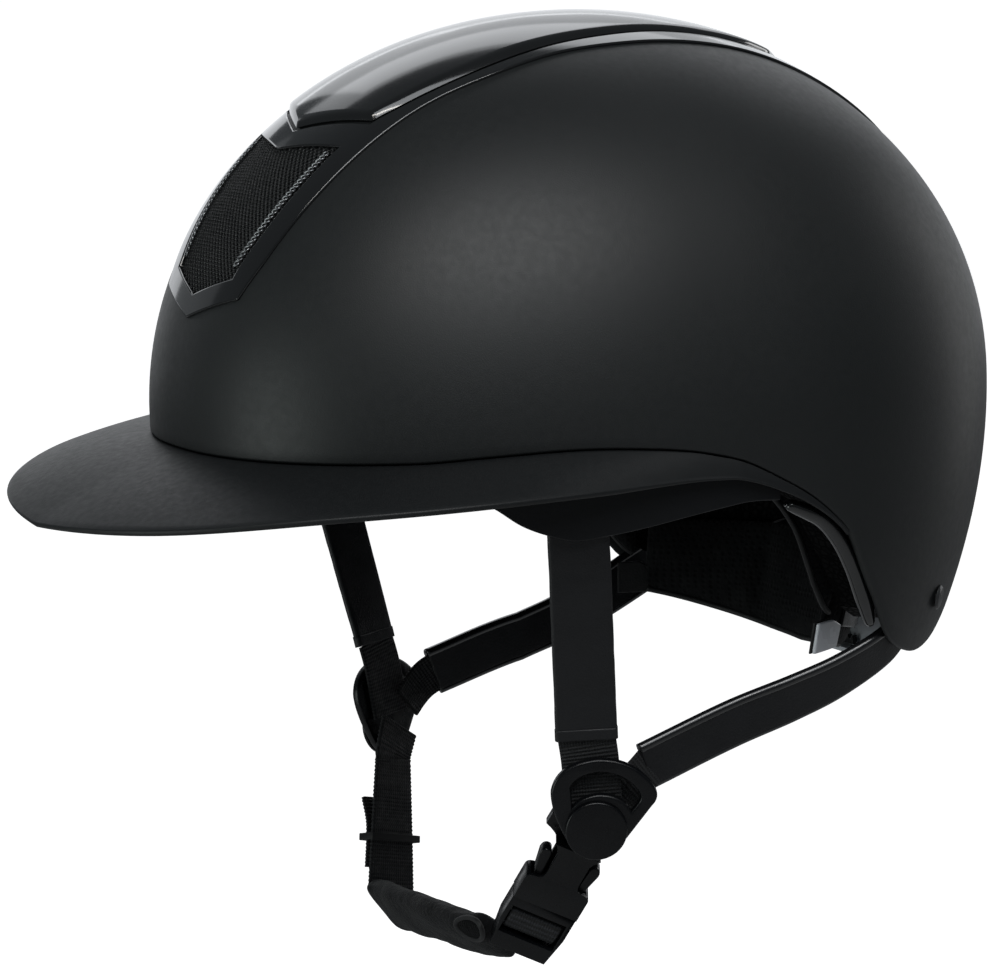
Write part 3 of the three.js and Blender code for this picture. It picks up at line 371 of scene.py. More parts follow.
def strap(name, path, facing, width, thickness, count, mirrored=False, shape=None, across=10):
    """A flat strap with rounded edges. shape(u, across, out) may move a profile point."""
    line, side, normal = strap_frames(path, facing, count)
    profile = strap_profile(width, thickness, across)
    length = run_along(line)[-1]
    run = run_along(np.vstack([profile, profile[:1]]))
    rings = []
    for i in range(count):
        u = i / (count - 1)
        section = np.array([shape(u, *p) for p in profile]) if shape else profile
        ring = line[i] + section[:, :1] * side[i] + section[:, 1:2] * normal[i]
        rings.append(right_side(ring) if mirrored else ring)
    return grid(name, rings, uv=lambda i, j: (run[j], length * i / (count - 1)), closed=True, caps=True)


def placed(origin, y, z):
    m = Matrix((y.cross(z), y, z)).transposed().to_4x4()
    m.translation = Vector(origin)
    return m


def squared(lean, along):
    return (Vector(lean) - along * Vector(lean).dot(along)).normalized()


def frame_at(origin, up, facing):
    """A frame whose z faces exactly the given way."""
    z = Vector(facing).normalized()
    return placed(origin, squared(up, z), z)


def frame_along(origin, up, facing):
    """A frame whose y points exactly the given way."""
    y = Vector(up).normalized()
    return placed(origin, y, squared(facing, y))


def plate(name, outline, holes, low, high, place, bevel, mirrored):
    """A flat plate with rounded edges, from outlines in millimetres in the frame place."""
    data = bpy.data.curves.new(name, "CURVE")
    data.dimensions = "2D"
    data.fill_mode = "BOTH"
    data.extrude = ((high - low) / 2 - bevel) * MM
    data.bevel_depth = bevel * MM
    data.bevel_resolution = 4
    data.offset = -bevel * MM
    for loop in [outline, *holes]:
        spline = data.splines.new("POLY")
        spline.points.add(len(loop) - 1)
        for point, (x, y) in zip(spline.points, loop):
            point.co = (x * MM, y * MM, 0, 1)
        spline.use_cyclic_u = True
    curve = linked(name, data)
    bpy.context.view_layer.update()
    mesh = bpy.data.meshes.new_from_object(curve.evaluated_get(bpy.context.evaluated_depsgraph_get()))
    bpy.data.objects.remove(curve)
    mesh.name = name
    middle = Vector((0, 0, (low + high) / 2))
    points = np.array([tuple(place @ (v.co / MM + middle)) for v in mesh.vertices])
    move_to(mesh, (right_side(points) if mirrored else points) * MM)
    obj = linked(name, mesh)
    face_outwards(obj)
    sharpen(obj, 40)
    return obj


def coordinates(mesh):
    flat = np.empty(len(mesh.vertices) * 3, np.float32)
    mesh.vertices.foreach_get("co", flat)
    return flat.reshape(-1, 3)


def move_to(mesh, points):
    mesh.vertices.foreach_set("co", points.astype(np.float32).reshape(-1))
    mesh.update()


def sharpen(obj, angle):
    """Smooth shading, but hard across edges sharper than the angle."""
    smooth_faces(obj.data)
    obj.data.set_sharp_from_angle(angle=math.radians(angle))


def quadratic(points):
    """Points along a chain: a pair is a corner, and a triple is a curve's pull and end."""
    line = []
    for item in points:
        if len(item) == 2 and not isinstance(item[0], tuple):
            line.append(item)
            continue
        (cx, cy), (ex, ey) = item
        sx, sy = line[-1]
        for t in np.linspace(0, 1, 13)[1:]:
            a, b, c = (1 - t) ** 2, 2 * t * (1 - t), t * t
            line.append((a * sx + b * cx + c * ex, a * sy + b * cy + c * ey))
    return line


# ------------------------------------------------------------------ materials

class Nodes:
    """A short way to build one material's nodes."""

    def __init__(self, name, **settings):
        self.material = bpy.data.materials.new(name)
        self.material.use_nodes = True
        self.tree = self.material.node_tree
        self.shader = self.tree.nodes["Principled BSDF"]
        for key, value in settings.items():
            self.shader.inputs[key.replace("_", " ")].default_value = value

    def add(self, kind, inputs=None, **attributes):
        node = self.tree.nodes.new("ShaderNode" + kind)
        for key, value in attributes.items():
            setattr(node, key, value)
        for key, value in (inputs or {}).items():
            socket = node.inputs[key]
            if isinstance(value, bpy.types.NodeSocket):
                self.tree.links.new(value, socket)
            else:
                socket.default_value = value
        return node

    def coords(self, kind="Object"):
        if kind == "UV":
            return self.add("UVMap").outputs["UV"]
        return self.add("TexCoord").outputs[kind]

    def noise(self, scale, detail=2.0, roughness=0.5):
        return self.add("TexNoise", {"Vector": self.coords(), "Scale": scale, "Detail": detail,
                                     "Roughness": roughness}).outputs["Fac"]

    def cells(self, scale, start, end, feature="DISTANCE_TO_EDGE", randomness=1.0):
        """A cell pattern's distance, brought to 0 to 1 between two values."""
        node = self.add("TexVoronoi", {"Vector": self.coords(), "Scale": scale,
                                       "Randomness": randomness}, feature=feature)
        return self.ramp(node.outputs["Distance"], 0.0, 1.0, start, end)

    def ramp(self, value, low, high, start=0.0, end=1.0):
        """Two colours or two numbers by a value."""
        if isinstance(low, (int, float)):
            return self.add("MapRange", {"Value": value, "From Min": start, "From Max": end,
                                         "To Min": low, "To Max": high}).outputs["Result"]
        node = self.add("ValToRGB", {"Fac": value})
        node.color_ramp.elements[0].position, node.color_ramp.elements[1].position = start, end
        node.color_ramp.elements[0].color = (*low, 1)
        node.color_ramp.elements[1].color = (*high, 1)
        return node.outputs["Color"]

    def math(self, operation, a, b=0.0):
        return self.add("Math", {0: a, 1: b}, operation=operation).outputs[0]

    def set(self, socket, value):
        self.tree.links.new(value, self.shader.inputs[socket])

    def vary(self, socket, source, low, high):
        """A socket that follows the middle of a noise's range."""
        self.set(socket, self.ramp(source, low, high, 0.3, 0.7))

    def bump(self, height, strength, distance, normal=None):
        inputs = {"Height": height, "Strength": strength, "Distance": distance}
        if normal is not None:
            inputs["Normal"] = normal
        out = self.add("Bump", inputs).outputs["Normal"]
        self.tree.links.new(out, self.shader.inputs["Normal"])
        return out


def paint(name, low, high, roughness, spread, grain, specular=0.45):
    """A sprayed or moulded matte surface: slow colour drift, fine grain and soft gloss."""
    m = Nodes(name, Specular_IOR_Level=specular)
    m.vary("Base Color", m.noise(14, 3), low, high)
    m.vary("Roughness", m.noise(420, 2), roughness - spread, roughness + spread)
    m.bump(m.noise(2600, 1), grain, 0.00006)
    return m.material


def gloss(name, colour, roughness=0.1):
    """Polished lacquer, hardly ever quite flat."""
    m = Nodes(name, Coat_Weight=0.6, Coat_Roughness=0.09)
    m.vary("Base Color", m.noise(30, 2), tuple(c * 0.8 for c in colour), colour)
    m.set("Roughness", m.ramp(m.noise(60, 3), roughness, roughness + 0.05, 0.3, 0.8))
    m.bump(m.noise(55, 1), 0.05, 0.0003)
    return m.material


def plastic(name, low, high, roughness, grain=0.25):
    """Moulded plastic with a fine spark-eroded texture."""
    m = Nodes(name, Specular_IOR_Level=0.3)
    m.vary("Base Color", m.noise(60, 2), low, high)
    m.vary("Roughness", m.noise(300, 2), roughness - 0.06, roughness + 0.08)
    m.bump(m.noise(1900, 2), grain, 0.00008)
    return m.material


def leatherette(name, low, high, roughness=0.5):
    """Coated fabric: cell grain, slow creases whose hollows are painted darker as shade, and a worn sheen."""
    m = Nodes(name, Sheen_Weight=0.03, Sheen_Roughness=0.5, Specular_IOR_Level=0.4)
    grain = m.cells(900.0, 0.0, 0.35)
    folds_and_shade = m.noise(70, 3)
    # The colour follows the fold height: darker in the crease hollows, a painted shade.
    m.set("Base Color", m.ramp(folds_and_shade, low, high, 0.3, 0.75))
    m.set("Roughness", m.ramp(folds_and_shade, roughness - 0.1, roughness + 0.12, 0.25, 0.75))
    first = m.bump(folds_and_shade, 0.35, 0.0009)
    m.bump(grain, 0.35, 0.00012, first)
    return m.material


def webbing_material(name, low, high, pitch, rib=1.0):
    """Woven tape: ribs across the tape, and the yarns along it, by the UV in millimetres."""
    m = Nodes(name, Sheen_Weight=0.04, Sheen_Roughness=0.6, Specular_IOR_Level=0.35)
    split = m.add("SeparateXYZ", {0: m.coords("UV")})
    across, along = split.outputs[0], split.outputs[1]
    ribs = m.math("SINE", m.math("MULTIPLY", along, 2 * math.pi / pitch))
    yarn = m.math("SINE", m.math("MULTIPLY", across, 2 * math.pi / 0.9))
    weave = m.math("ADD", m.math("MULTIPLY", ribs, rib), m.math("MULTIPLY", yarn, 0.45))
    weave = m.math("ADD", weave, m.math("MULTIPLY", m.noise(1500, 2), 0.7))
    m.set("Base Color", m.ramp(weave, low, high, 0.0, 1.0))
    m.vary("Roughness", m.noise(500, 2), 0.62, 0.85)
    m.bump(weave, 0.7, 0.00022)
    return m.material


def knit(name, low, high, scale=520.0):
    """Open mesh knit: rows of small holes, with a soft nap."""
    m = Nodes(name, Sheen_Weight=0.02, Sheen_Roughness=0.5, Specular_IOR_Level=0.15)
    hole = m.cells(scale, 0.12, 0.5, "F1", 0.25)
    m.set("Base Color", m.ramp(hole, low, high, 0.1, 0.8))
    m.vary("Roughness", m.noise(200, 2), 0.8, 0.97)
    m.bump(hole, 0.7, 0.0004)
    return m.material


def fleece(name, low, high):
    """A brushed, matted pile."""
    m = Nodes(name, Sheen_Weight=0.1, Sheen_Roughness=0.4, Specular_IOR_Level=0.2)
    nap = m.noise(900, 4, roughness=0.7)
    m.set("Base Color", m.ramp(nap, low, high, 0.3, 0.75))
    m.vary("Roughness", m.noise(120, 2), 0.85, 1.0)
    m.bump(m.math("ADD", nap, m.noise(260, 3)), 0.8, 0.0006)
    return m.material


def foam(name):
    """Expanded beads pressed together."""
    m = Nodes(name, Specular_IOR_Level=0.05)
    bead = m.cells(420.0, 0.0, 0.25)
    m.set("Base Color", m.ramp(bead, (0.0009, 0.0009, 0.001), (0.0016, 0.0016, 0.0018), 0.0, 1.0))
    m.set("Roughness", m.ramp(bead, 0.95, 0.6, 0.0, 1.0))
    m.bump(bead, 0.5, 0.0004)
    return m.material


def frosted(name):
    """Pale grey, milky plastic under a clear skin."""
    m = Nodes(name, Coat_Weight=0.4, Coat_Roughness=0.12)
    m.vary("Base Color", m.noise(45, 3), (0.42, 0.44, 0.47), (0.56, 0.58, 0.62))
    m.vary("Roughness", m.noise(90, 2), 0.22, 0.34)
    m.bump(m.noise(1500, 1), 0.08, 0.00004)
    return m.material


SHELL = paint("shell_paint", (0.0085, 0.0098, 0.0102), (0.0112, 0.0126, 0.013), 0.48, 0.03, 0.5, 0.4)
VISOR = paint("visor_paint", (0.0055, 0.0065, 0.0072), (0.0075, 0.0085, 0.0092), 0.5, 0.04, 0.7, 0.36)
FLAP = paint("flap_paint", (0.003, 0.0036, 0.0045), (0.0045, 0.0052, 0.0064), 0.46, 0.04, 0.6, 0.3)
PIANO = gloss("piano_black", (0.006, 0.0065, 0.007))
WIRE = plastic("vent_wire", (0.006, 0.0065, 0.007), (0.012, 0.0125, 0.013), 0.3, 0.1)
# The chain on the vent's edge: a light metal colour that paints the glints of glossy black wire.
PAINTED_HIGHLIGHT_WIRE = plastic("painted_highlight_wire", (0.16, 0.165, 0.17), (0.3, 0.31, 0.32), 0.16, 0.05)
PAINTED_HIGHLIGHT_WIRE.node_tree.nodes["Principled BSDF"].inputs["Metallic"].default_value = 0.8
FOAM = foam("black_foam")
LINING = knit("mesh_lining", (0.0007, 0.0007, 0.0009), (0.003, 0.0032, 0.0037))
LINING_SMOOTH = leatherette("lining_binding", (0.003, 0.0031, 0.0035), (0.006, 0.0062, 0.007), 0.6)
SLEEVE = leatherette("sleeve_leather", (0.0028, 0.0032, 0.0042), (0.0052, 0.0058, 0.0074), 0.48)
PIPING = gloss("piping_gloss", (0.008, 0.0085, 0.0095), 0.2)
TAPE = webbing_material("ribbed_tape", (0.002, 0.0022, 0.0027), (0.008, 0.0088, 0.0102), 1.25)
TAPE_FINE = webbing_material("buckle_tape", (0.0025, 0.0027, 0.0033), (0.015, 0.016, 0.019), 1.6, 0.9)
FLEECE = fleece("chin_fleece", (0.003, 0.0032, 0.0037), (0.0085, 0.009, 0.0102))
# Dark knit for the chin pad's slit: the lining inside it, darkened as painted shade of the opening.
SLIT_SHADE = knit("slit_lining_and_shade", (0.0008, 0.0008, 0.001), (0.002, 0.002, 0.0024), 900)
NYLON = plastic("black_nylon", (0.0018, 0.0021, 0.0027), (0.0036, 0.004, 0.005), 0.26, 0.16)
RUBBER = plastic("black_rubber", (0.003, 0.003, 0.0035), (0.005, 0.005, 0.0055), 0.5, 0.3)
CLEAR_GREY = frosted("grey_plastic")
DARK_METAL = paint("rivet_lacquer", (0.02, 0.021, 0.022), (0.035, 0.036, 0.038), 0.35, 0.05, 0.3)


# ------------------------------------------------------------------ shell

def climb(low, v, depth):
    return low + (HEIGHT - depth - low) * np.sin(v * math.pi / 2)


def shell_low(angle):
    side = np.abs(angle)
    return np.where(side < 108, crease(side), shell_edge(side))


# Each vent's half width, and where it starts and ends over the crown, at its middle and how much
# further at its sides.
VENTS = ((mesh_width, 18.9, 3.2, 40.6, 3.0), (rear_mesh_width, 140, -4, 154.5, -4.5))
MM_PER_DEGREE = 2.2


def in_vent(points, grow):
    """Whether crown points lie within a vent's opening, grown by a margin in millimetres."""
    x, y, z = np.abs(points[..., 0]), points[..., 1], points[..., 2]
    over = np.degrees(np.arctan2(z, -y))
    step = grow / MM_PER_DEGREE
    inside = np.zeros(x.shape, bool)
    for width, start, start_more, end, end_more in VENTS:
        share = x / width(over)
        within = (over > start + start_more * share - step) & (over < end + end_more * share + step)
        inside |= (x < width(over) + grow) & within
    return (z > 0) & inside


def make_shell():
    round_off, margin = 0.9, 2.2
    section = [(v, SHELL_DEPTH, 0.0) for v in np.linspace(1, 0.02, 20)]
    for a in np.linspace(0, 180, 9):
        depth = SHELL_DEPTH / 2 * (1 + math.cos(math.radians(a)))
        section.append((0.0, depth, -round_off * math.sin(math.radians(a)) + round_off))
    section += [(v, 0.0, 0.0) for v in np.linspace(0.02, 1, 75)]
    share, depth, lift = np.array(section).T
    points = np.array([dome(angle, climb(float(shell_low(angle)), share, depth) + lift, depth)
                       for angle in np.linspace(-180, 180, 241)])
    centre = (points[:-1, :-1] + points[1:, 1:]) / 2
    keep = ~in_vent(centre, margin)
    shell = grid("outer_shell_visual", points, keep=keep.tolist())
    settle(shell, "helmet", "shell_matte", SHELL, "outer_shell")


# The peak and the band that sweeps back from it, one moulding under the shell's crease.
def make_visor():
    end, hairline, lip = 105.8, 0.35, 1.0
    foot = -12.0
    rows = []
    for angle in np.linspace(-end, end, 221):
        side = abs(angle)
        top = float(crease(side)) - hairline
        reach, rim, band = (float(curve(side)) for curve in (peak_reach, peak_rim, band_edge))
        thin = 0.55 + 1.25 * min(1, reach / 10)
        taper = np.clip((end - side) / 6, 0.05, 1)
        base = dome(angle, foot)
        nearby = dome(angle + 0.1, foot)
        out = unit(np.array([nearby[1] - base[1], base[0] - nearby[0], 0.0]))
        if out.dot(base) < 0:
            out = -out
        section = []
        for v in np.linspace(0, 1, 19):
            z = top + (rim - top) * (0.55 * v + 0.45 * v * v)
            section.append(dome(angle, z) + out * reach * v)
        edge = section[-1]
        inner = dome(angle, rim) + out * (reach - lip)
        inner[2] = rim - thin
        mid = (edge + inner) / 2
        bulge = (out * 0.75 + np.array([0, 0, -0.55])) * 0.8 * min(1, reach + 0.4)
        for swing in np.radians(np.linspace(20, 160, 6)):
            section.append(mid + (edge - mid) * math.cos(swing) + bulge * math.sin(swing))
        depth = SHELL_DEPTH * taper
        for q in np.linspace(1, 0, 12):
            z = band + (rim - thin - band) * (0.35 * q + 0.65 * q * q)
            section.append(dome(angle, z, depth) + out * (reach + depth - lip) * q)
        section.append(dome(angle, top, depth))
        rows.append(section)
    visor = grid("visor_visual", rows, closed=True, caps=True)
    sharpen(visor, 50)
    settle(visor, "helmet", "visor_matte", VISOR, "visor")


# ------------------------------------------------------------------ crown insert

def opening_half_width(over):
    spans = [(22.1, 43.6, mesh_width), (50, 124, panel_width), (136, 150, rear_mesh_width)]
    at = [np.linspace(start, end, 24) for start, end, _ in spans]
    value = [width(o) + 0.5 for o, (_, _, width) in zip(at, spans)]
    return np.interp(over, np.concatenate(at), np.concatenate(value))


def make_frame():
    # Rows from the front tip to the back tip: (centre angle, corner angle).
    keys = [(15.2, 19.0), (18.4, 21.6), (41.1, 44.1), (44.6, 49.5), (131.5, 124.5), (139.5, 135.5),
            (155.0, 150.5), (160.0, 154.0)]
    counts = [3, 18, 3, 60, 6, 12, 4]
    holes = {1, 3, 5}
    narrowest, proud, thickness = 3.2, 0.9, 3.2
    rows, row_band = [], []
    for k, count in enumerate(counts):
        (t0, c0), (t1, c1) = keys[k], keys[k + 1]
        for s in np.linspace(0, 1, count, endpoint=False):
            rows.append((t0 + (t1 - t0) * s, c0 + (c1 - c0) * s))
            row_band.append(k)
    rows.append(keys[-1])
    inside = np.linspace(-1, 1, 25)
    rail = np.linspace(0, 1, 6)[1:]
    points = []
    for tip, corner in rows:
        outer = float(frame_width(np.clip(corner, 19, 154)))
        inner = min(float(opening_half_width(corner)), outer - narrowest)
        ratio = inner / outer
        corner_in = corner
        if corner < 21:
            corner_in = tip + (corner - tip) * (ratio + (1 - ratio) * (corner - 19) / 2.6)
        if corner > 150.5:
            corner_in = tip + (corner - tip) * (ratio + (1 - ratio) * (154 - corner) / 3.5)
        beside = [(inner + (outer - inner) * r, corner_in + (corner - corner_in) * r) for r in rail]
        line = [(-x, over) for x, over in reversed(beside)]
        line += [(a * inner, tip + (corner_in - tip) * abs(a)) for a in inside]
        line = np.array(line + beside)
        points.append(crown(line[:, 0], line[:, 1], -proud))
    first, last = len(rail), len(rail) + len(inside) - 1
    keep = [[not (row_band[i] in holes and first <= j < last) for j in range(len(points[0]) - 1)]
            for i in range(len(rows) - 1)]
    obj = grid("vent_frame_visual", points, keep=keep)
    turn_up(obj)
    thicken(obj, thickness)
    soften(obj, 0.55, 3, 50)
    settle(obj, "helmet", "gloss_black", PIANO, "vent_frame")


def turn_up(obj):
    """Faces of an open crown patch point up."""
    total = sum(p.normal.z * p.area for p in obj.data.polygons)
    if total < 0:
        obj.data.flip_normals()


def crown_patch(name, width, ends, u_count, v_count, depth_at):
    """A pointed patch of the crown, whose depth depends on the gap to its edge."""
    tip0, corner0, tip1, corner1 = ends
    points = []
    for v in np.linspace(0, 1, v_count):
        row = []
        edge = corner0 + (corner1 - corner0) * v
        half = float(width(edge))
        for u in np.linspace(-1, 1, u_count):
            start = tip0 + (corner0 - tip0) * abs(u)
            end = tip1 + (corner1 - tip1) * abs(u)
            over = start + (end - start) * v
            gap = min((1 - abs(u)) * half, min(v, 1 - v) * (end - start) * MM_PER_DEGREE)
            row.append((u * half, over, depth_at(gap)))
        points.append(crown(*np.array(row).T))
    obj = grid(name, points)
    turn_up(obj)
    return obj


def make_panel():
    shoulder, belly = 2.6, 30

    def depth_at(gap):
        rise = np.clip(gap / shoulder, 0, 1)
        return -0.9 - 1.5 * rise * (2 - rise) - 0.25 * np.clip(gap / belly, 0, 1)

    panel = crown_patch("crown_panel_visual", panel_width, (45.1, 50, 131, 124), 81, 121, depth_at)
    thicken(panel, 2.6)
    soften(panel, 0.35, 2, 55)
    settle(panel, "helmet", "gloss_black", PIANO, "crown_panel")


def make_vent(name, node, over_from, over_to, half):
    """A perforated sheet: a honeycomb of wires with rounded tops."""
    pitch, row, sunk, margin = 2.2, 1.12, 0.7, 1.4
    radius_x, radius_y = pitch / math.sqrt(3), row / 1.5
    rows = int((over_to - over_from) * MM_PER_DEGREE / row) + 2
    columns = int(half / pitch) + 2
    cells = []
    for r in range(rows):
        for c in range(-columns, columns + 1):
            cells.append(((c + 0.5 * (r % 2)) * pitch, over_from + r * row / MM_PER_DEGREE))
    cells = np.array(cells)
    centres = crown(cells[:, 0], cells[:, 1], sunk)
    cells = cells[in_vent(centres, margin)]
    # Twelve points round each hole: the wires' crossings stand up, and the wires dip between them.
    ring = []
    for k in range(12):
        turn = math.radians(k * 30 + 30)
        reach = 1.0 if k % 2 == 0 else math.cos(math.pi / 6)
        ring.append((math.cos(turn) * reach, math.sin(turn) * reach, 0.0 if k % 2 == 0 else 0.3))
    layers = ((1.0, 0.05, 1.0), (0.84, 0.12, 1.0), (0.66, 0.55, 0.4), (0.64, 1.4, 0.0))
    flat = []
    for x, over in cells:
        for scale, depth, dip in layers:
            for cx, cy, down in ring:
                flat.append((x + radius_x * scale * cx, over + radius_y * scale * cy / MM_PER_DEGREE,
                             depth + down * dip))
    verts = crown(*np.array(flat).T)
    count = len(ring)
    faces = []
    for k in range(len(cells)):
        base = k * count * len(layers)
        for layer in range(len(layers) - 1):
            for j in range(count):
                a, b = base + layer * count + j, base + layer * count + (j + 1) % count
                faces.append([a, b, b + count, a + count])
    wires = make(name, verts, faces)
    turn_up(wires)
    sharpen(wires, 60)
    settle(wires, "helmet", "vent_mesh", WIRE, node)


def make_vent_edge():
    """The front sheet's rolled edge, a chain of longer links down each side, coloured light metal as a
    painted highlight of the glossy black wire.
    """
    waves, swing, inset = 13, 0.8, 1.9
    share = np.linspace(0, 1, 260)
    over = 23.2 + 19.4 * share
    links = []
    for sign in (-1, 1):
        for phase in (0, math.pi):
            turn = share * waves * 2 * math.pi + phase
            x = sign * (mesh_width(over) - inset + swing * np.sin(turn))
            links.append(tube("link", crown(x, over, -0.55 - 0.3 * np.cos(turn)), 0.32, 8))
    settle(merged("vent_mesh_edge", links), "helmet", "vent_mesh", PAINTED_HIGHLIGHT_WIRE)


# ------------------------------------------------------------------ liner and padding

def make_liner():
    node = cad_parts["eps_liner"]
    node.data.materials.clear()
    node.data.materials.append(FOAM)
    sharpen(node, 35)


def inflate(obj, cap, pressure=4.0):
    """Swells a soft piece with Cloth, moving no point further than the cap in millimetres."""
    last = 14
    scene = bpy.context.scene
    rest = coordinates(obj.data)
    cloth = obj.modifiers.new("Cloth", "CLOTH")
    settings = cloth.settings
    settings.quality = 6
    settings.mass = 0.3
    settings.tension_stiffness = settings.compression_stiffness = 12
    settings.shear_stiffness = 5
    settings.bending_stiffness = 0.6
    settings.use_pressure = True
    settings.uniform_pressure_force = pressure
    settings.effector_weights.gravity = 0
    cloth.collision_settings.use_collision = False
    cloth.point_cache.frame_start, cloth.point_cache.frame_end = 1, last
    for number in range(1, last + 1):
        scene.frame_set(number)
    evaluated = obj.evaluated_get(bpy.context.evaluated_depsgraph_get())
    move = coordinates(evaluated.data) - rest
    length = np.linalg.norm(move, axis=1, keepdims=True)
    move *= np.minimum(1, cap * MM / np.maximum(length, 1e-9))
    obj.modifiers.remove(cloth)
    move_to(obj.data, rest + move)
    scene.frame_set(1)


def cushion(name, surface, u_count, v_count, thickness, seams):
    """A padded piece on a surface(u, v, depth): crowned, pulled in at its rim and sewn at its seams."""
    shrink, cap = 0.8, 1.6
    rings = []
    for i in range(u_count + 1):
        u = i / u_count
        end = min(1, 2.2 * math.sqrt(max(0, 1 - abs(2 * u - 1))) + 0.25)
        ring = []
        for side, order in ((0, range(v_count + 1)), (1, range(v_count, -1, -1))):
            for j in order:
                v = j / v_count
                edge = math.sin(math.pi * v) ** 0.45 if 0 < v < 1 else 0.0
                swell = (0.3 + 0.7 * edge) * min(1, end)
                sewn = min((abs(u - s) for s in seams), default=1.0)
                swell *= 1 - 0.45 * math.exp(-((sewn * u_count / 1.6) ** 2))
                half = (thickness / 2 - shrink / 2) * swell
                depth = thickness / 2 + (half if side else -half)
                pull = 0.02 * (1 - abs(2 * u - 1))
                ring.append(surface(u, pull + (1 - 2 * pull) * v, depth))
        rings.append(ring)
    obj = grid(name, rings, closed=True, caps=True)
    inflate(obj, cap)
    modifier(obj, "SUBSURF", levels=1, render_levels=1)
    return obj


def band_surface(start, end, low, high, base):
    def surface(u, v, depth):
        angle = start + (end - start) * u
        side = min(abs(angle), 360 - abs(angle))
        bottom, top = float(low(side)), float(high(side))
        return dome(angle, bottom + (top - bottom) * v, base(angle) + depth)
    return surface


def pad_outside(angle):
    """The depth at which the pads meet the liner."""
    return float(eps_inner(angle)) + PAD_GAP


def headband_low(side):
    return np.maximum(notch(side) - 1, -11)


def make_headband():
    surface = band_surface(-88, 88, headband_low, lambda side: 24, pad_outside)
    seams = [k / 8 for k in range(1, 8)]
    pad = cushion("headband_pad_visual", surface, 96, 10, PAD_THICKNESS, seams)
    settle(pad, "helmet", "lining_fabric", LINING, "headband_pad")
    edge = [dome(a, float(headband_low(abs(a))) + 0.4, pad_outside(a) + PAD_THICKNESS / 2)
            for a in np.linspace(-87, 87, 150)]
    settle(tube("headband_binding", edge, 0.9), "helmet", "lining_fabric", LINING_SMOOTH)


def make_quarter_pads():
    for side, sign in SIDES:
        surface = band_surface(sign * 93, sign * 121.5, lambda s: notch(s) - 2,
                               lambda s: notch(s) + 30, pad_outside)
        pad = cushion(f"rear_quarter_pad_{side}_visual", surface, 26, 14, PAD_THICKNESS, (0.5,))
        node = f"rear_quarter_pad_{side}"
        settle(pad, "helmet", "lining_fabric", LINING, node)
        edge = [dome(sign * a, float(notch(a)) - 1.7, pad_outside(a) + PAD_THICKNESS / 2)
                for a in np.linspace(93.5, 121, 40)]
        rim = tube(f"quarter_binding_{side}", edge, 0.9)
        settle(rim, "helmet", "lining_fabric", LINING_SMOOTH)


def make_crown_pad():
    """A round pad under the top of the dome, with one ring of stitching."""
    low, stitching, half = 62, 0.45, 2.1
    middle = EPS_DEPTH + EPS_ENDS + PAD_GAP + 2.5
    rings = []
    for angle in np.linspace(-180, 180, 61):
        ring = []
        for side, order in ((-1, np.linspace(1, 0, 12)), (1, np.linspace(0, 1, 12))):
            for v in order:
                seam = math.exp(-(((v - stitching) / 0.06) ** 2))
                swell = (0.3 + 0.7 * min(1, 3 * v)) * (1 - 0.35 * seam)
                depth = middle + side * half * swell
                ring.append(dome(angle, climb(low, v, depth), depth))
        rings.append(ring)
    cap = grid("crown_pad_visual", rings)
    inflate(cap, 1.0)
    modifier(cap, "SUBSURF", levels=1, render_levels=1)
    settle(cap, "helmet", "lining_fabric", LINING, "crown_pad")


def make_nape_pad():
    outside, thickness = 30.2, 6.0
    surface = band_surface(124, 236, nape_low, lambda side: -58, lambda angle: outside)
    nape = cushion("nape_pad_visual", surface, 60, 14, thickness, (0.32, 0.68))
    settle(nape, "fit_cradle", "lining_fabric", LINING, "nape_pad")
    edge = [dome(a, float(nape_low(min(a, 360 - a))) + 0.5, outside + thickness / 2)
            for a in np.linspace(124.6, 235.4, 100)]
    settle(tube("nape_binding", edge, 1.0), "fit_cradle", "lining_fabric", LINING_SMOOTH)


# ------------------------------------------------------------------ flaps and ear trim

def make_flaps():
    path = [(98.2, 24.2, -26.5), (96.8, 36.8, -32.6), (95.2, 44.1, -40.2), (93, 50, -49.4),
            (90.3, 55, -59.2), (87.6, 59, -67.3), (86.3, 60.6, -70.6)]
    facing = [(0.8, -0.3, -0.5), (0.76, -0.42, -0.46), (0.74, -0.52, -0.38), (0.72, -0.6, -0.3),
              (0.7, -0.65, -0.22), (0.7, -0.65, -0.2), (0.7, -0.65, -0.2)]
    for side, sign in SIDES:
        flap = dome_plate(f"temple_flap_{side}_visual", np.linspace(58, 96.5, 60),
                          lambda angle: (float(flap_edge(angle)), float(notch(angle)) - 2),
                          3.2, 5.6, 12, 0.8, 3, sign)
        settle(flap, "helmet", "visor_matte", FLAP, f"temple_flap_{side}")

        def rounded(u, a, n):
            fade = min(1, 6 * u, 6 * (1 - u)) ** 0.5
            swell = 2.6 * math.sqrt(max(0, 1 - (a / 2.7) ** 2)) if n > 0 else 0
            return a * (0.55 + 0.45 * fade), (n + swell) * (0.6 + 0.4 * fade)
        trim = strap(f"ear_trim_{side}_visual", path, facing, 5.2, 1.2, 60, sign < 0, rounded, across=18)
        settle(trim, "helmet", "gloss_black", PIANO, f"ear_trim_{side}")


# ------------------------------------------------------------------ harness

DIVIDER_MIDDLE = Vector((74, -33.5, -126))
DIVIDER_FACING = Vector((0.9, -0.4, -0.15))
DIVIDER_PLACE = frame_at(DIVIDER_MIDDLE, (0.12, -0.11, 0.985), DIVIDER_FACING)
DISC_RADIUS = 9.8
TAPE_WIDTH, TAPE_THICKNESS = 18, 1.4
SEEDS = {"left": 7.0, "right": 3.0}


def on_divider(x, y, z):
    return tuple(DIVIDER_PLACE @ Vector((x, y, z)))


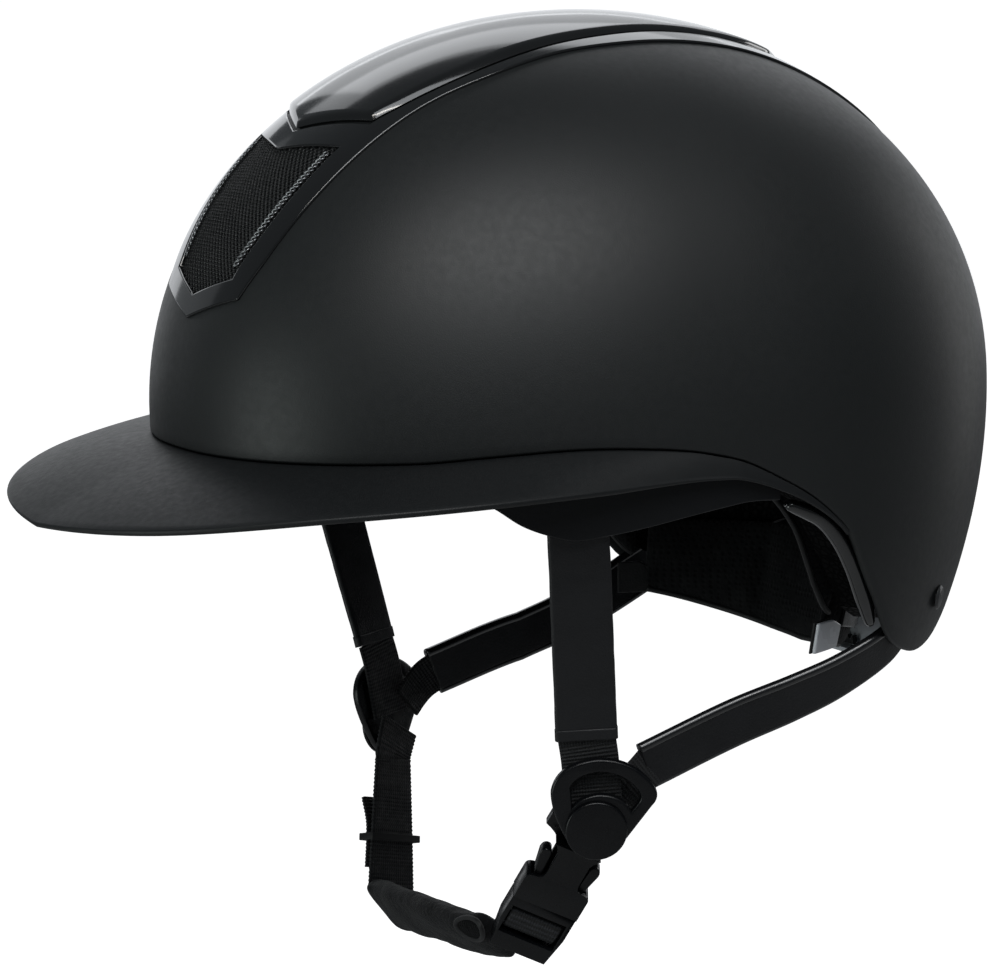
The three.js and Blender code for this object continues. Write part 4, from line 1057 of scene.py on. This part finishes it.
def divider_outline():
    arc = [(DISC_RADIUS * math.cos(math.radians(a)), DISC_RADIUS * math.sin(math.radians(a)))
           for a in np.linspace(-46, -162, 28)]
    upper = quadratic([arc[-1], ((-14, 8), (-13, 14)), ((-10.5, 23), (2, 23.2)), ((13, 22.4), (18.6, 13.4)),
                       ((21.4, 9), (18, 6)), arc[0]])
    return upper + arc[1:-1]


def divider_window():
    return quadratic([(-8.6, 7.4), (-8.8, 15), ((-6, 19.8), (2, 19.9)), ((11, 19), (15.6, 11)),
                      ((17, 8.4), (15, 6.4)), (12.6, 3.6), ((10, 10.6), (1, 11.4)),
                      ((-5.4, 11.2), (-8.4, 7.6))])


def shrunk(loop, share):
    """A loop drawn in towards its middle."""
    cx, cy = (sum(p[k] for p in loop) / len(loop) for k in (0, 1))
    return [(cx + (x - cx) * share, cy + (y - cy) * share) for x, y in loop]


def circle(radius, count):
    turns = np.linspace(0, 2 * math.pi, count, endpoint=False)
    return [(radius * math.cos(a), radius * math.sin(a)) for a in turns]


def creased(seed, depth):
    """Soft cross creases in a sleeve, stronger towards its top."""
    def shape(u, a, n):
        wave = noise.noise(Vector((seed, u * 9.0, a * 0.06)))
        wave += 0.5 * noise.noise(Vector((seed, u * 24.0, a * 0.12)))
        return a * (1 + 0.012 * wave), n + depth * wave * (0.5 + (1 - u))
    return shape


def make_front_strap(side, mirrored):
    """The sleeve down the temple, and the tape that comes out of it."""
    path = [(90.4, -45.2, -16), (89.4, -44.2, -31), (75.2, -36.3, -97)]
    facing = [(0.95, -0.3, -0.1), (0.92, -0.36, -0.2), (0.87, -0.42, -0.25)]
    width, count = 19.2, 90
    sleeve = strap(f"front_sleeve_{side}_visual", path, facing, width, 2.4, count, mirrored,
                   creased(SEEDS[side], 0.16), across=14)
    settle(sleeve, "helmet", "leatherette", SLEEVE, f"front_sleeve_{side}")
    web = [(75.1, -36.2, -96.5), on_divider(0, 22, -2.7), on_divider(0, 4, -2.7)]
    web_facing = [(0.87, -0.42, -0.25), (0.9, -0.4, -0.15), (0.9, -0.4, -0.15)]
    tape = strap(f"front_webbing_{side}_visual", web, web_facing, TAPE_WIDTH, TAPE_THICKNESS, 60, mirrored)
    settle(tape, "helmet", "webbing", TAPE, f"front_webbing_{side}")
    hem = strap(f"sleeve_hem_{side}", catmull(path, count)[-5:], catmull(facing, count)[-5:],
                width + 0.4, 3.0, 8, mirrored)
    settle(hem, "helmet", "leatherette", SLEEVE)


def make_rear_strap(side, mirrored):
    """The piped sleeve from behind the ear, and the tape that comes out of it."""
    path = [(72.4, 86.9, -59.5), (73.2, 86.5, -66.5), (77.3, 78.4, -74.5), (80.5, 69.8, -80),
            (80.5, 52, -88), (79, 36, -93.2), (77.5, 15, -98.7), (74, -15.4, -109.2)]
    facing = [(0.71, 0.68, -0.18), (0.71, 0.68, -0.18), (0.8, 0.55, -0.25), (0.95, 0.25, -0.15),
              (0.99, 0.05, -0.1), (0.99, 0, -0.1), (0.98, -0.1, -0.12), (0.95, -0.25, -0.15)]
    width, count = 14.2, 160
    back = strap(f"rear_sleeve_{side}_visual", path, facing, width, 2.4, count, mirrored,
                 creased(SEEDS[side] + 4, 0.1), across=12)
    settle(back, "helmet", "leatherette", SLEEVE, f"rear_sleeve_{side}")
    line, across, _ = strap_frames(path, facing, count)
    for name, shift, radius in (("upper", 6.6, 1.7), ("lower", -6.6, 1.25)):
        route = (line + across * shift)[14:]
        pipe = tube(f"rear_piping_{name}_{side}", right_side(route) if mirrored else route, radius, 14)
        settle(pipe, "helmet", "leatherette", PIPING)
    web = [(74.3, -13.6, -108.6), on_divider(14, 11.6, -6.4), on_divider(6, 6, -5.2)]
    web_facing = [(0.95, -0.25, -0.15), (0.92, -0.35, -0.15), (0.9, -0.4, -0.15)]
    tape = strap(f"rear_webbing_{side}_visual", web, web_facing, 13, TAPE_THICKNESS, 40, mirrored)
    settle(tape, "helmet", "webbing", TAPE, f"rear_webbing_{side}")


def make_divider(side, mirrored):
    ring = plate(f"divider_{side}_visual", divider_outline(), [shrunk(divider_window(), 0.86)],
                 -1.4, 1.6, DIVIDER_PLACE, 0.9, mirrored)
    settle(ring, "helmet", "black_plastic", NYLON, f"divider_{side}")
    disc = plate(f"divider_disc_{side}_visual", circle(DISC_RADIUS - 0.1, 72), [], 1.7, 3.3,
                 DIVIDER_PLACE, 0.7, mirrored)
    settle(disc, "helmet", "black_plastic", NYLON, f"divider_disc_{side}")
    refined(f"rivet_{side}", "helmet", "rivet_metal", DARK_METAL, 0.25, 2)
    refined(f"front_anchor_{side}", "helmet", "black_plastic", NYLON, 0.4, 2)


def make_clip(side, sign):
    """The frosted clip behind the ear, and the lining behind it."""
    clip = dome_plate(f"cradle_clip_{side}_visual", np.linspace(117.6, 126.2, 26),
                      lambda angle: (-83.4, min(-73.4, float(notch(angle)) - 3.1)),
                      26.5, 28.1, 12, 0.7, 4, sign)
    settle(clip, "helmet", "grey_plastic", CLEAR_GREY, f"cradle_clip_{side}")
    backing = dome_plate(f"clip_lining_{side}", np.linspace(117.5, 126.0, 18),
                         lambda angle: (-83.5, min(-73.2, float(notch(angle)) - 3)),
                         28.25, 29.2, 8, 0.3, 2, sign)
    settle(backing, "helmet", "lining_fabric", LINING_SMOOTH)


def make_harness():
    for side, sign in SIDES:
        mirrored = sign < 0
        make_front_strap(side, mirrored)
        make_rear_strap(side, mirrored)
        make_divider(side, mirrored)
        make_clip(side, sign)


# ------------------------------------------------------------------ buckle and chin strap

# The buckle lies behind the divider, and its axis runs down and forward to the chin.
BUCKLE_AXIS = Vector((-25.7, -14.6, -43.5)).normalized()
BUCKLE_ORIGIN = DIVIDER_MIDDLE - DIVIDER_FACING.normalized() * 6.5
BUCKLE_PLACE = frame_along(BUCKLE_ORIGIN, -BUCKLE_AXIS, (0.8, -0.46, -0.38))


def on_buckle(x, along, z):
    return tuple(BUCKLE_PLACE @ Vector((x, -along, z)))


def towards(x, along, z):
    return tuple(BUCKLE_PLACE.to_3x3() @ Vector((x, -along, z)))


def make_buckle():
    for node, body, bevel in (("buckle_socket", "helmet", 0.55), ("buckle_plug", "chin_strap", 0.5),
                              ("buckle_prong_front", "prong_front", 0.45),
                              ("buckle_prong_rear", "prong_rear", 0.45)):
        refined(node, body, "black_plastic", NYLON, bevel)
    loop = [(39.6, -4.8), (39.6, -1), (40.4, 1.6), (43.4, 2.4), (46.4, 1.6), (47.2, -1), (47.2, -4.8)]
    lean = [(-1, 0), (-1, 0), (-0.7, 0.7), (0, 1), (0.7, 0.7), (1, 0), (1, 0)]
    tape = strap("ladder_webbing_visual", [on_buckle(0, a, z) for a, z in loop],
                 [towards(0, a, z) for a, z in lean], 17.4, TAPE_THICKNESS, 90)
    settle(tape, "chin_strap", "webbing", TAPE_FINE, "ladder_webbing")
    near = [on_buckle(0, 44.5, -6.2), on_buckle(0, 47.5, -6.2), on_buckle(0, 50.6, -6.4)]
    tape = strap("chin_webbing_near_visual", near, [towards(0, 0, 1)] * 3,
                 TAPE_WIDTH, TAPE_THICKNESS, 20)
    settle(tape, "chin_strap", "webbing", TAPE_FINE, "chin_webbing_near")


FAR_LOW, FAR_HIGH = np.array([-52.5, -44.6, -164.4]), np.array([-62.0, -37.8, -131.0])
FACING_LOW, FACING_HIGH = np.array([-0.96, -0.12, -0.1]), np.array([-0.86, -0.42, -0.1])


def far_facing(up):
    return unit(FACING_LOW + (FACING_HIGH - FACING_LOW) * up)


def far_point(up, out=0.0):
    return tuple(FAR_LOW + (FAR_HIGH - FAR_LOW) * up + far_facing(up) * out)


def ribbed(length):
    """Ribs woven across a tape of the given length."""
    pitch, depth = 1.25, 0.16

    def shape(u, a, n):
        wave = math.sin(2 * math.pi * u * length / pitch)
        return a, n + math.copysign(depth, n) * wave * min(1, abs(n) * 4)

    return shape


def make_far_webbing():
    """The tape from the chin pad up to the far divider, which bends where strap and harness meet."""
    upward = unit(FAR_HIGH - FAR_LOW)
    path = [FAR_LOW - upward * 7.5, far_point(0.3), far_point(0.7), far_point(1), FAR_HIGH + upward * 3,
            (-67.2, -32.4, -119.5)]
    facing = [FACING_LOW, far_facing(0.3), far_facing(0.7), FACING_HIGH, (-0.88, -0.4, -0.1),
              (-0.9, -0.4, -0.15)]
    far = strap("far_webbing", path, facing, TAPE_WIDTH, TAPE_THICKNESS, 300, shape=ribbed(52), across=8)
    settle(far, None, "webbing", TAPE, "chin_webbing_far", "divider_webbing")
    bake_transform(far)


def make_tail():
    """The strap's loose end, folded back over the far tape and held by the keeper."""
    heights = [0, 0.27, 0.45, 0.66]
    outs = [2.2, 2.2, 2.8, 5.4]
    tail = strap("strap_tail_visual", [far_point(h, o) for h, o in zip(heights, outs)],
                 [far_facing(h) for h in heights], TAPE_WIDTH, TAPE_THICKNESS, 150, shape=ribbed(24),
                 across=8)
    settle(tail, "chin_strap", "webbing", TAPE, "strap_tail")
    refined("keeper", "keeper", "keeper_rubber", RUBBER, 0.35)


def make_chin_pad():
    count, wide, narrow = 60, 25, 21.5
    middle = catmull([(35, -46.4, -167.6), (18, -49, -169.6), (-9, -50.8, -170.6), (-32, -50.4, -172.6),
                      (-46, -49.2, -173), (-53, -48, -169.4)], count)
    facing = catmull([(0.35, -0.7, -0.6), (0.1, -0.72, -0.69), (0, -0.72, -0.69), (-0.2, -0.7, -0.68),
                      (-0.6, -0.6, -0.5), (-0.85, -0.45, -0.25)], count)
    tangent = tangents(middle)
    normal = square_to(tangent, facing)
    across = np.cross(tangent, normal)
    rings = []
    for i in range(count):
        u = i / (count - 1)
        end = min(1, (min(u, 1 - u) * 14 + 0.25) ** 0.5)
        full = (0.75 + 0.25 * math.sin(math.pi * u) ** 0.5) * end
        half = ((wide + (narrow - wide) * u) / 2 - 0.6) * full
        thick = 4.2 * full
        ring = []
        for a in np.linspace(0, 2 * math.pi, 32, endpoint=False):
            ring.append(middle[i] + across[i] * half * signed_power(math.cos(a), 0.75)
                        + normal[i] * thick * signed_power(math.sin(a), 0.75))
        rings.append(ring)
    pad = grid("chin_pad_visual", rings, closed=True, caps=True)
    inflate(pad, 1.3, 3.0)
    for vertex in pad.data.vertices:
        ripple = noise.noise(vertex.co * 95) * 0.55 + noise.noise(vertex.co * 260) * 0.2
        vertex.co += vertex.normal * ripple * 0.0011
    modifier(pad, "SUBSURF", levels=1, render_levels=2)
    settle(pad, "chin_strap", "chin_fleece", FLEECE, "chin_pad")

    # The slit where the webbing goes into the pad, with its turned edge, and a dark knit disc laid on the pad
    # for its inside: the lining there, with the shade of the opening painted in.
    def on_pad(i, turn, out):
        k = int(i)
        centre = middle[k] + (middle[k + 1] - middle[k]) * (i - k)
        c, s = (signed_power(f(math.radians(turn)), 0.75) for f in (math.cos, math.sin))
        return centre + across[k] * (11.0 * c + out * 0.6) + normal[k] * (4.3 * s + out)

    turns = np.linspace(0, 2 * math.pi, count, endpoint=False)
    rings = [[on_pad(4.6 + 4.4 * r * math.cos(t), 44 + 34 * r * math.sin(t), 0.95) for t in turns]
             for r in (1, 0.75, 0.5, 0.25, 0.02)]
    inside = grid("pad_slit_shade", rings, closed=True)
    thicken(inside, 0.4, 0)
    settle(inside, "chin_strap", "chin_fleece", SLIT_SHADE)
    edge = tube("pad_slit_edge", [*rings[0], rings[0][0]], 0.85, 10)
    settle(edge, "chin_strap", "chin_fleece", LINING_SMOOTH)


# ------------------------------------------------------------------ cradle and dial

def make_cradle():
    cradle = dome_plate("nape_cradle_visual", np.linspace(130, 230, 61),
                        lambda angle: (max(-91.0, float(nape_low(min(angle, 360 - angle))) + 6), -62),
                        28.6, 29.8, 8, 0.4, 2)
    settle(cradle, "fit_cradle", "black_plastic", NYLON, "nape_cradle")
    refined("adjuster_housing", "fit_cradle", "grey_plastic", CLEAR_GREY, 0.8)
    refined("dial_knob", "dial", "grey_plastic", CLEAR_GREY, 0.3, 2)
    for node, body in (("dial_pinion", "dial"), ("rack_left", "rack_left"), ("rack_right", "rack_right")):
        refined(node, body, "black_plastic", NYLON, 0.15, 2)


# ------------------------------------------------------------------ studio

AZIMUTH, ELEVATION, ROLL = 63.104, 9.73, -2.146
TARGET = Vector((-22.489, -13.509, -34.667)) * MM
DISTANCE = 1.4694


def make_camera():
    a, e, r = (math.radians(v) for v in (AZIMUTH, ELEVATION, ROLL))
    back = Vector((math.sin(a) * math.cos(e), -math.cos(a) * math.cos(e), math.sin(e)))
    right = Vector((math.cos(a), math.sin(a), 0))
    up = back.cross(right)
    right, up = math.cos(r) * right + math.sin(r) * up, -math.sin(r) * right + math.cos(r) * up
    data = bpy.data.cameras.new("camera")
    data.lens, data.sensor_width = 161.07, 36
    camera = linked("camera", data)
    camera.matrix_world = Matrix((right, up, back)).transposed().to_4x4()
    camera.location = TARGET + back * DISTANCE
    data.clip_end = 100
    bpy.context.scene.camera = camera
    return right, up, back


CENTRE = Vector((0, 0, -0.02))
COOL, PALE, WARM, MINT = (0.93, 0.965, 1), (0.95, 0.97, 1), (1, 0.96, 0.9), (0.92, 1, 0.97)
# Name, place from the centre as the camera sees it (right, up, back), size, power and colour.
LIGHTS = (
    ("key", (0.2, 0.95, 1.3), (1.3, 1.1), 13.5, COOL),
    ("glint", (0.1, 0.98, 1.25), (1.7, 0.05), 5.5, WARM),
    ("left", (-1.15, 0.5, -0.9), (0.9, 0.9), 0.35, COOL),
    ("left low", (-1.35, -0.25, 0.55), (0.8, 0.8), 5, MINT),
    ("overhead", (0.15, 1.0, -1.0), (1.5, 0.75), 2.8, PALE),
    ("sky", (0.12, 1.25, -0.95), (1.9, 0.5), 2.2, PALE),
    ("plate", (-1.0, 0.72, -0.8), (0.4, 0.4), 0.2, COOL),
    ("behind", (0, 0.5, -1.6), (3.0, 0.8), 6.5, PALE),
    ("rim", (1.2, 0.35, -0.75), (0.2, 1.0), 2, (1, 1, 1)),
)


def area_light(name, place, size, power, colour):
    data = bpy.data.lights.new(name, "AREA")
    data.shape, (data.size, data.size_y) = "RECTANGLE", size
    data.energy, data.color = power, colour
    light = linked(name, data)
    light.location = place
    light.rotation_mode = "QUATERNION"
    light.rotation_quaternion = (CENTRE - place).to_track_quat("-Z", "Y")


def make_world():
    """White to the camera, and a dim pale blue to everything else."""
    world = bpy.data.worlds.new("studio")
    bpy.context.scene.world = world
    world.use_nodes = True
    tree = world.node_tree
    sky = tree.nodes["Background"]
    seen = tree.nodes.new("ShaderNodeLightPath").outputs["Is Camera Ray"]
    tint = tree.nodes.new("ShaderNodeValToRGB")
    tint.color_ramp.elements[0].color = (0.86, 0.94, 1, 1)
    tint.color_ramp.elements[1].color = (1, 1, 1, 1)
    tree.links.new(seen, tint.inputs["Fac"])
    tree.links.new(tint.outputs["Color"], sky.inputs["Color"])
    strength = tree.nodes.new("ShaderNodeMapRange")
    strength.inputs["To Min"].default_value, strength.inputs["To Max"].default_value = 0.11, 1.0
    tree.links.new(seen, strength.inputs["Value"])
    tree.links.new(strength.outputs["Result"], sky.inputs["Strength"])


def make_floor():
    """White to the camera, and a mid grey in reflections."""
    half, level = 30 / MM, -620
    floor = make("floor", [(x * half, y * half, level) for x, y in ((-1, -1), (1, -1), (1, 1), (-1, 1))],
                 [(0, 1, 2, 3)])
    m = Nodes("pale_floor", Roughness=0.9)
    m.set("Base Color", m.ramp(m.noise(2), (0.42, 0.42, 0.42), (0.46, 0.46, 0.46)))
    m.shader.inputs["Emission Color"].default_value = (1, 1, 1, 1)
    m.set("Emission Strength", m.add("LightPath").outputs["Is Camera Ray"])
    floor.data.materials.append(m.material)


def make_studio():
    right, up, back = make_camera()
    bpy.context.scene.view_settings.view_transform = "Standard"
    make_world()
    make_floor()
    for name, place, size, power, colour in LIGHTS:
        area_light(name, CENTRE + right * place[0] + up * place[1] + back * place[2], size, power, colour)


make_studio()
make_shell()
make_visor()
make_frame()
make_panel()
make_vent("vent_mesh_visual", "vent_mesh", 17, 46, 30)
make_vent_edge()
make_vent("rear_vent_mesh_visual", "rear_vent_mesh", 134, 157, 22)
make_liner()
make_headband()
make_quarter_pads()
make_crown_pad()
make_nape_pad()
make_flaps()
make_harness()
make_buckle()
make_far_webbing()
make_tail()
make_chin_pad()
make_cradle()
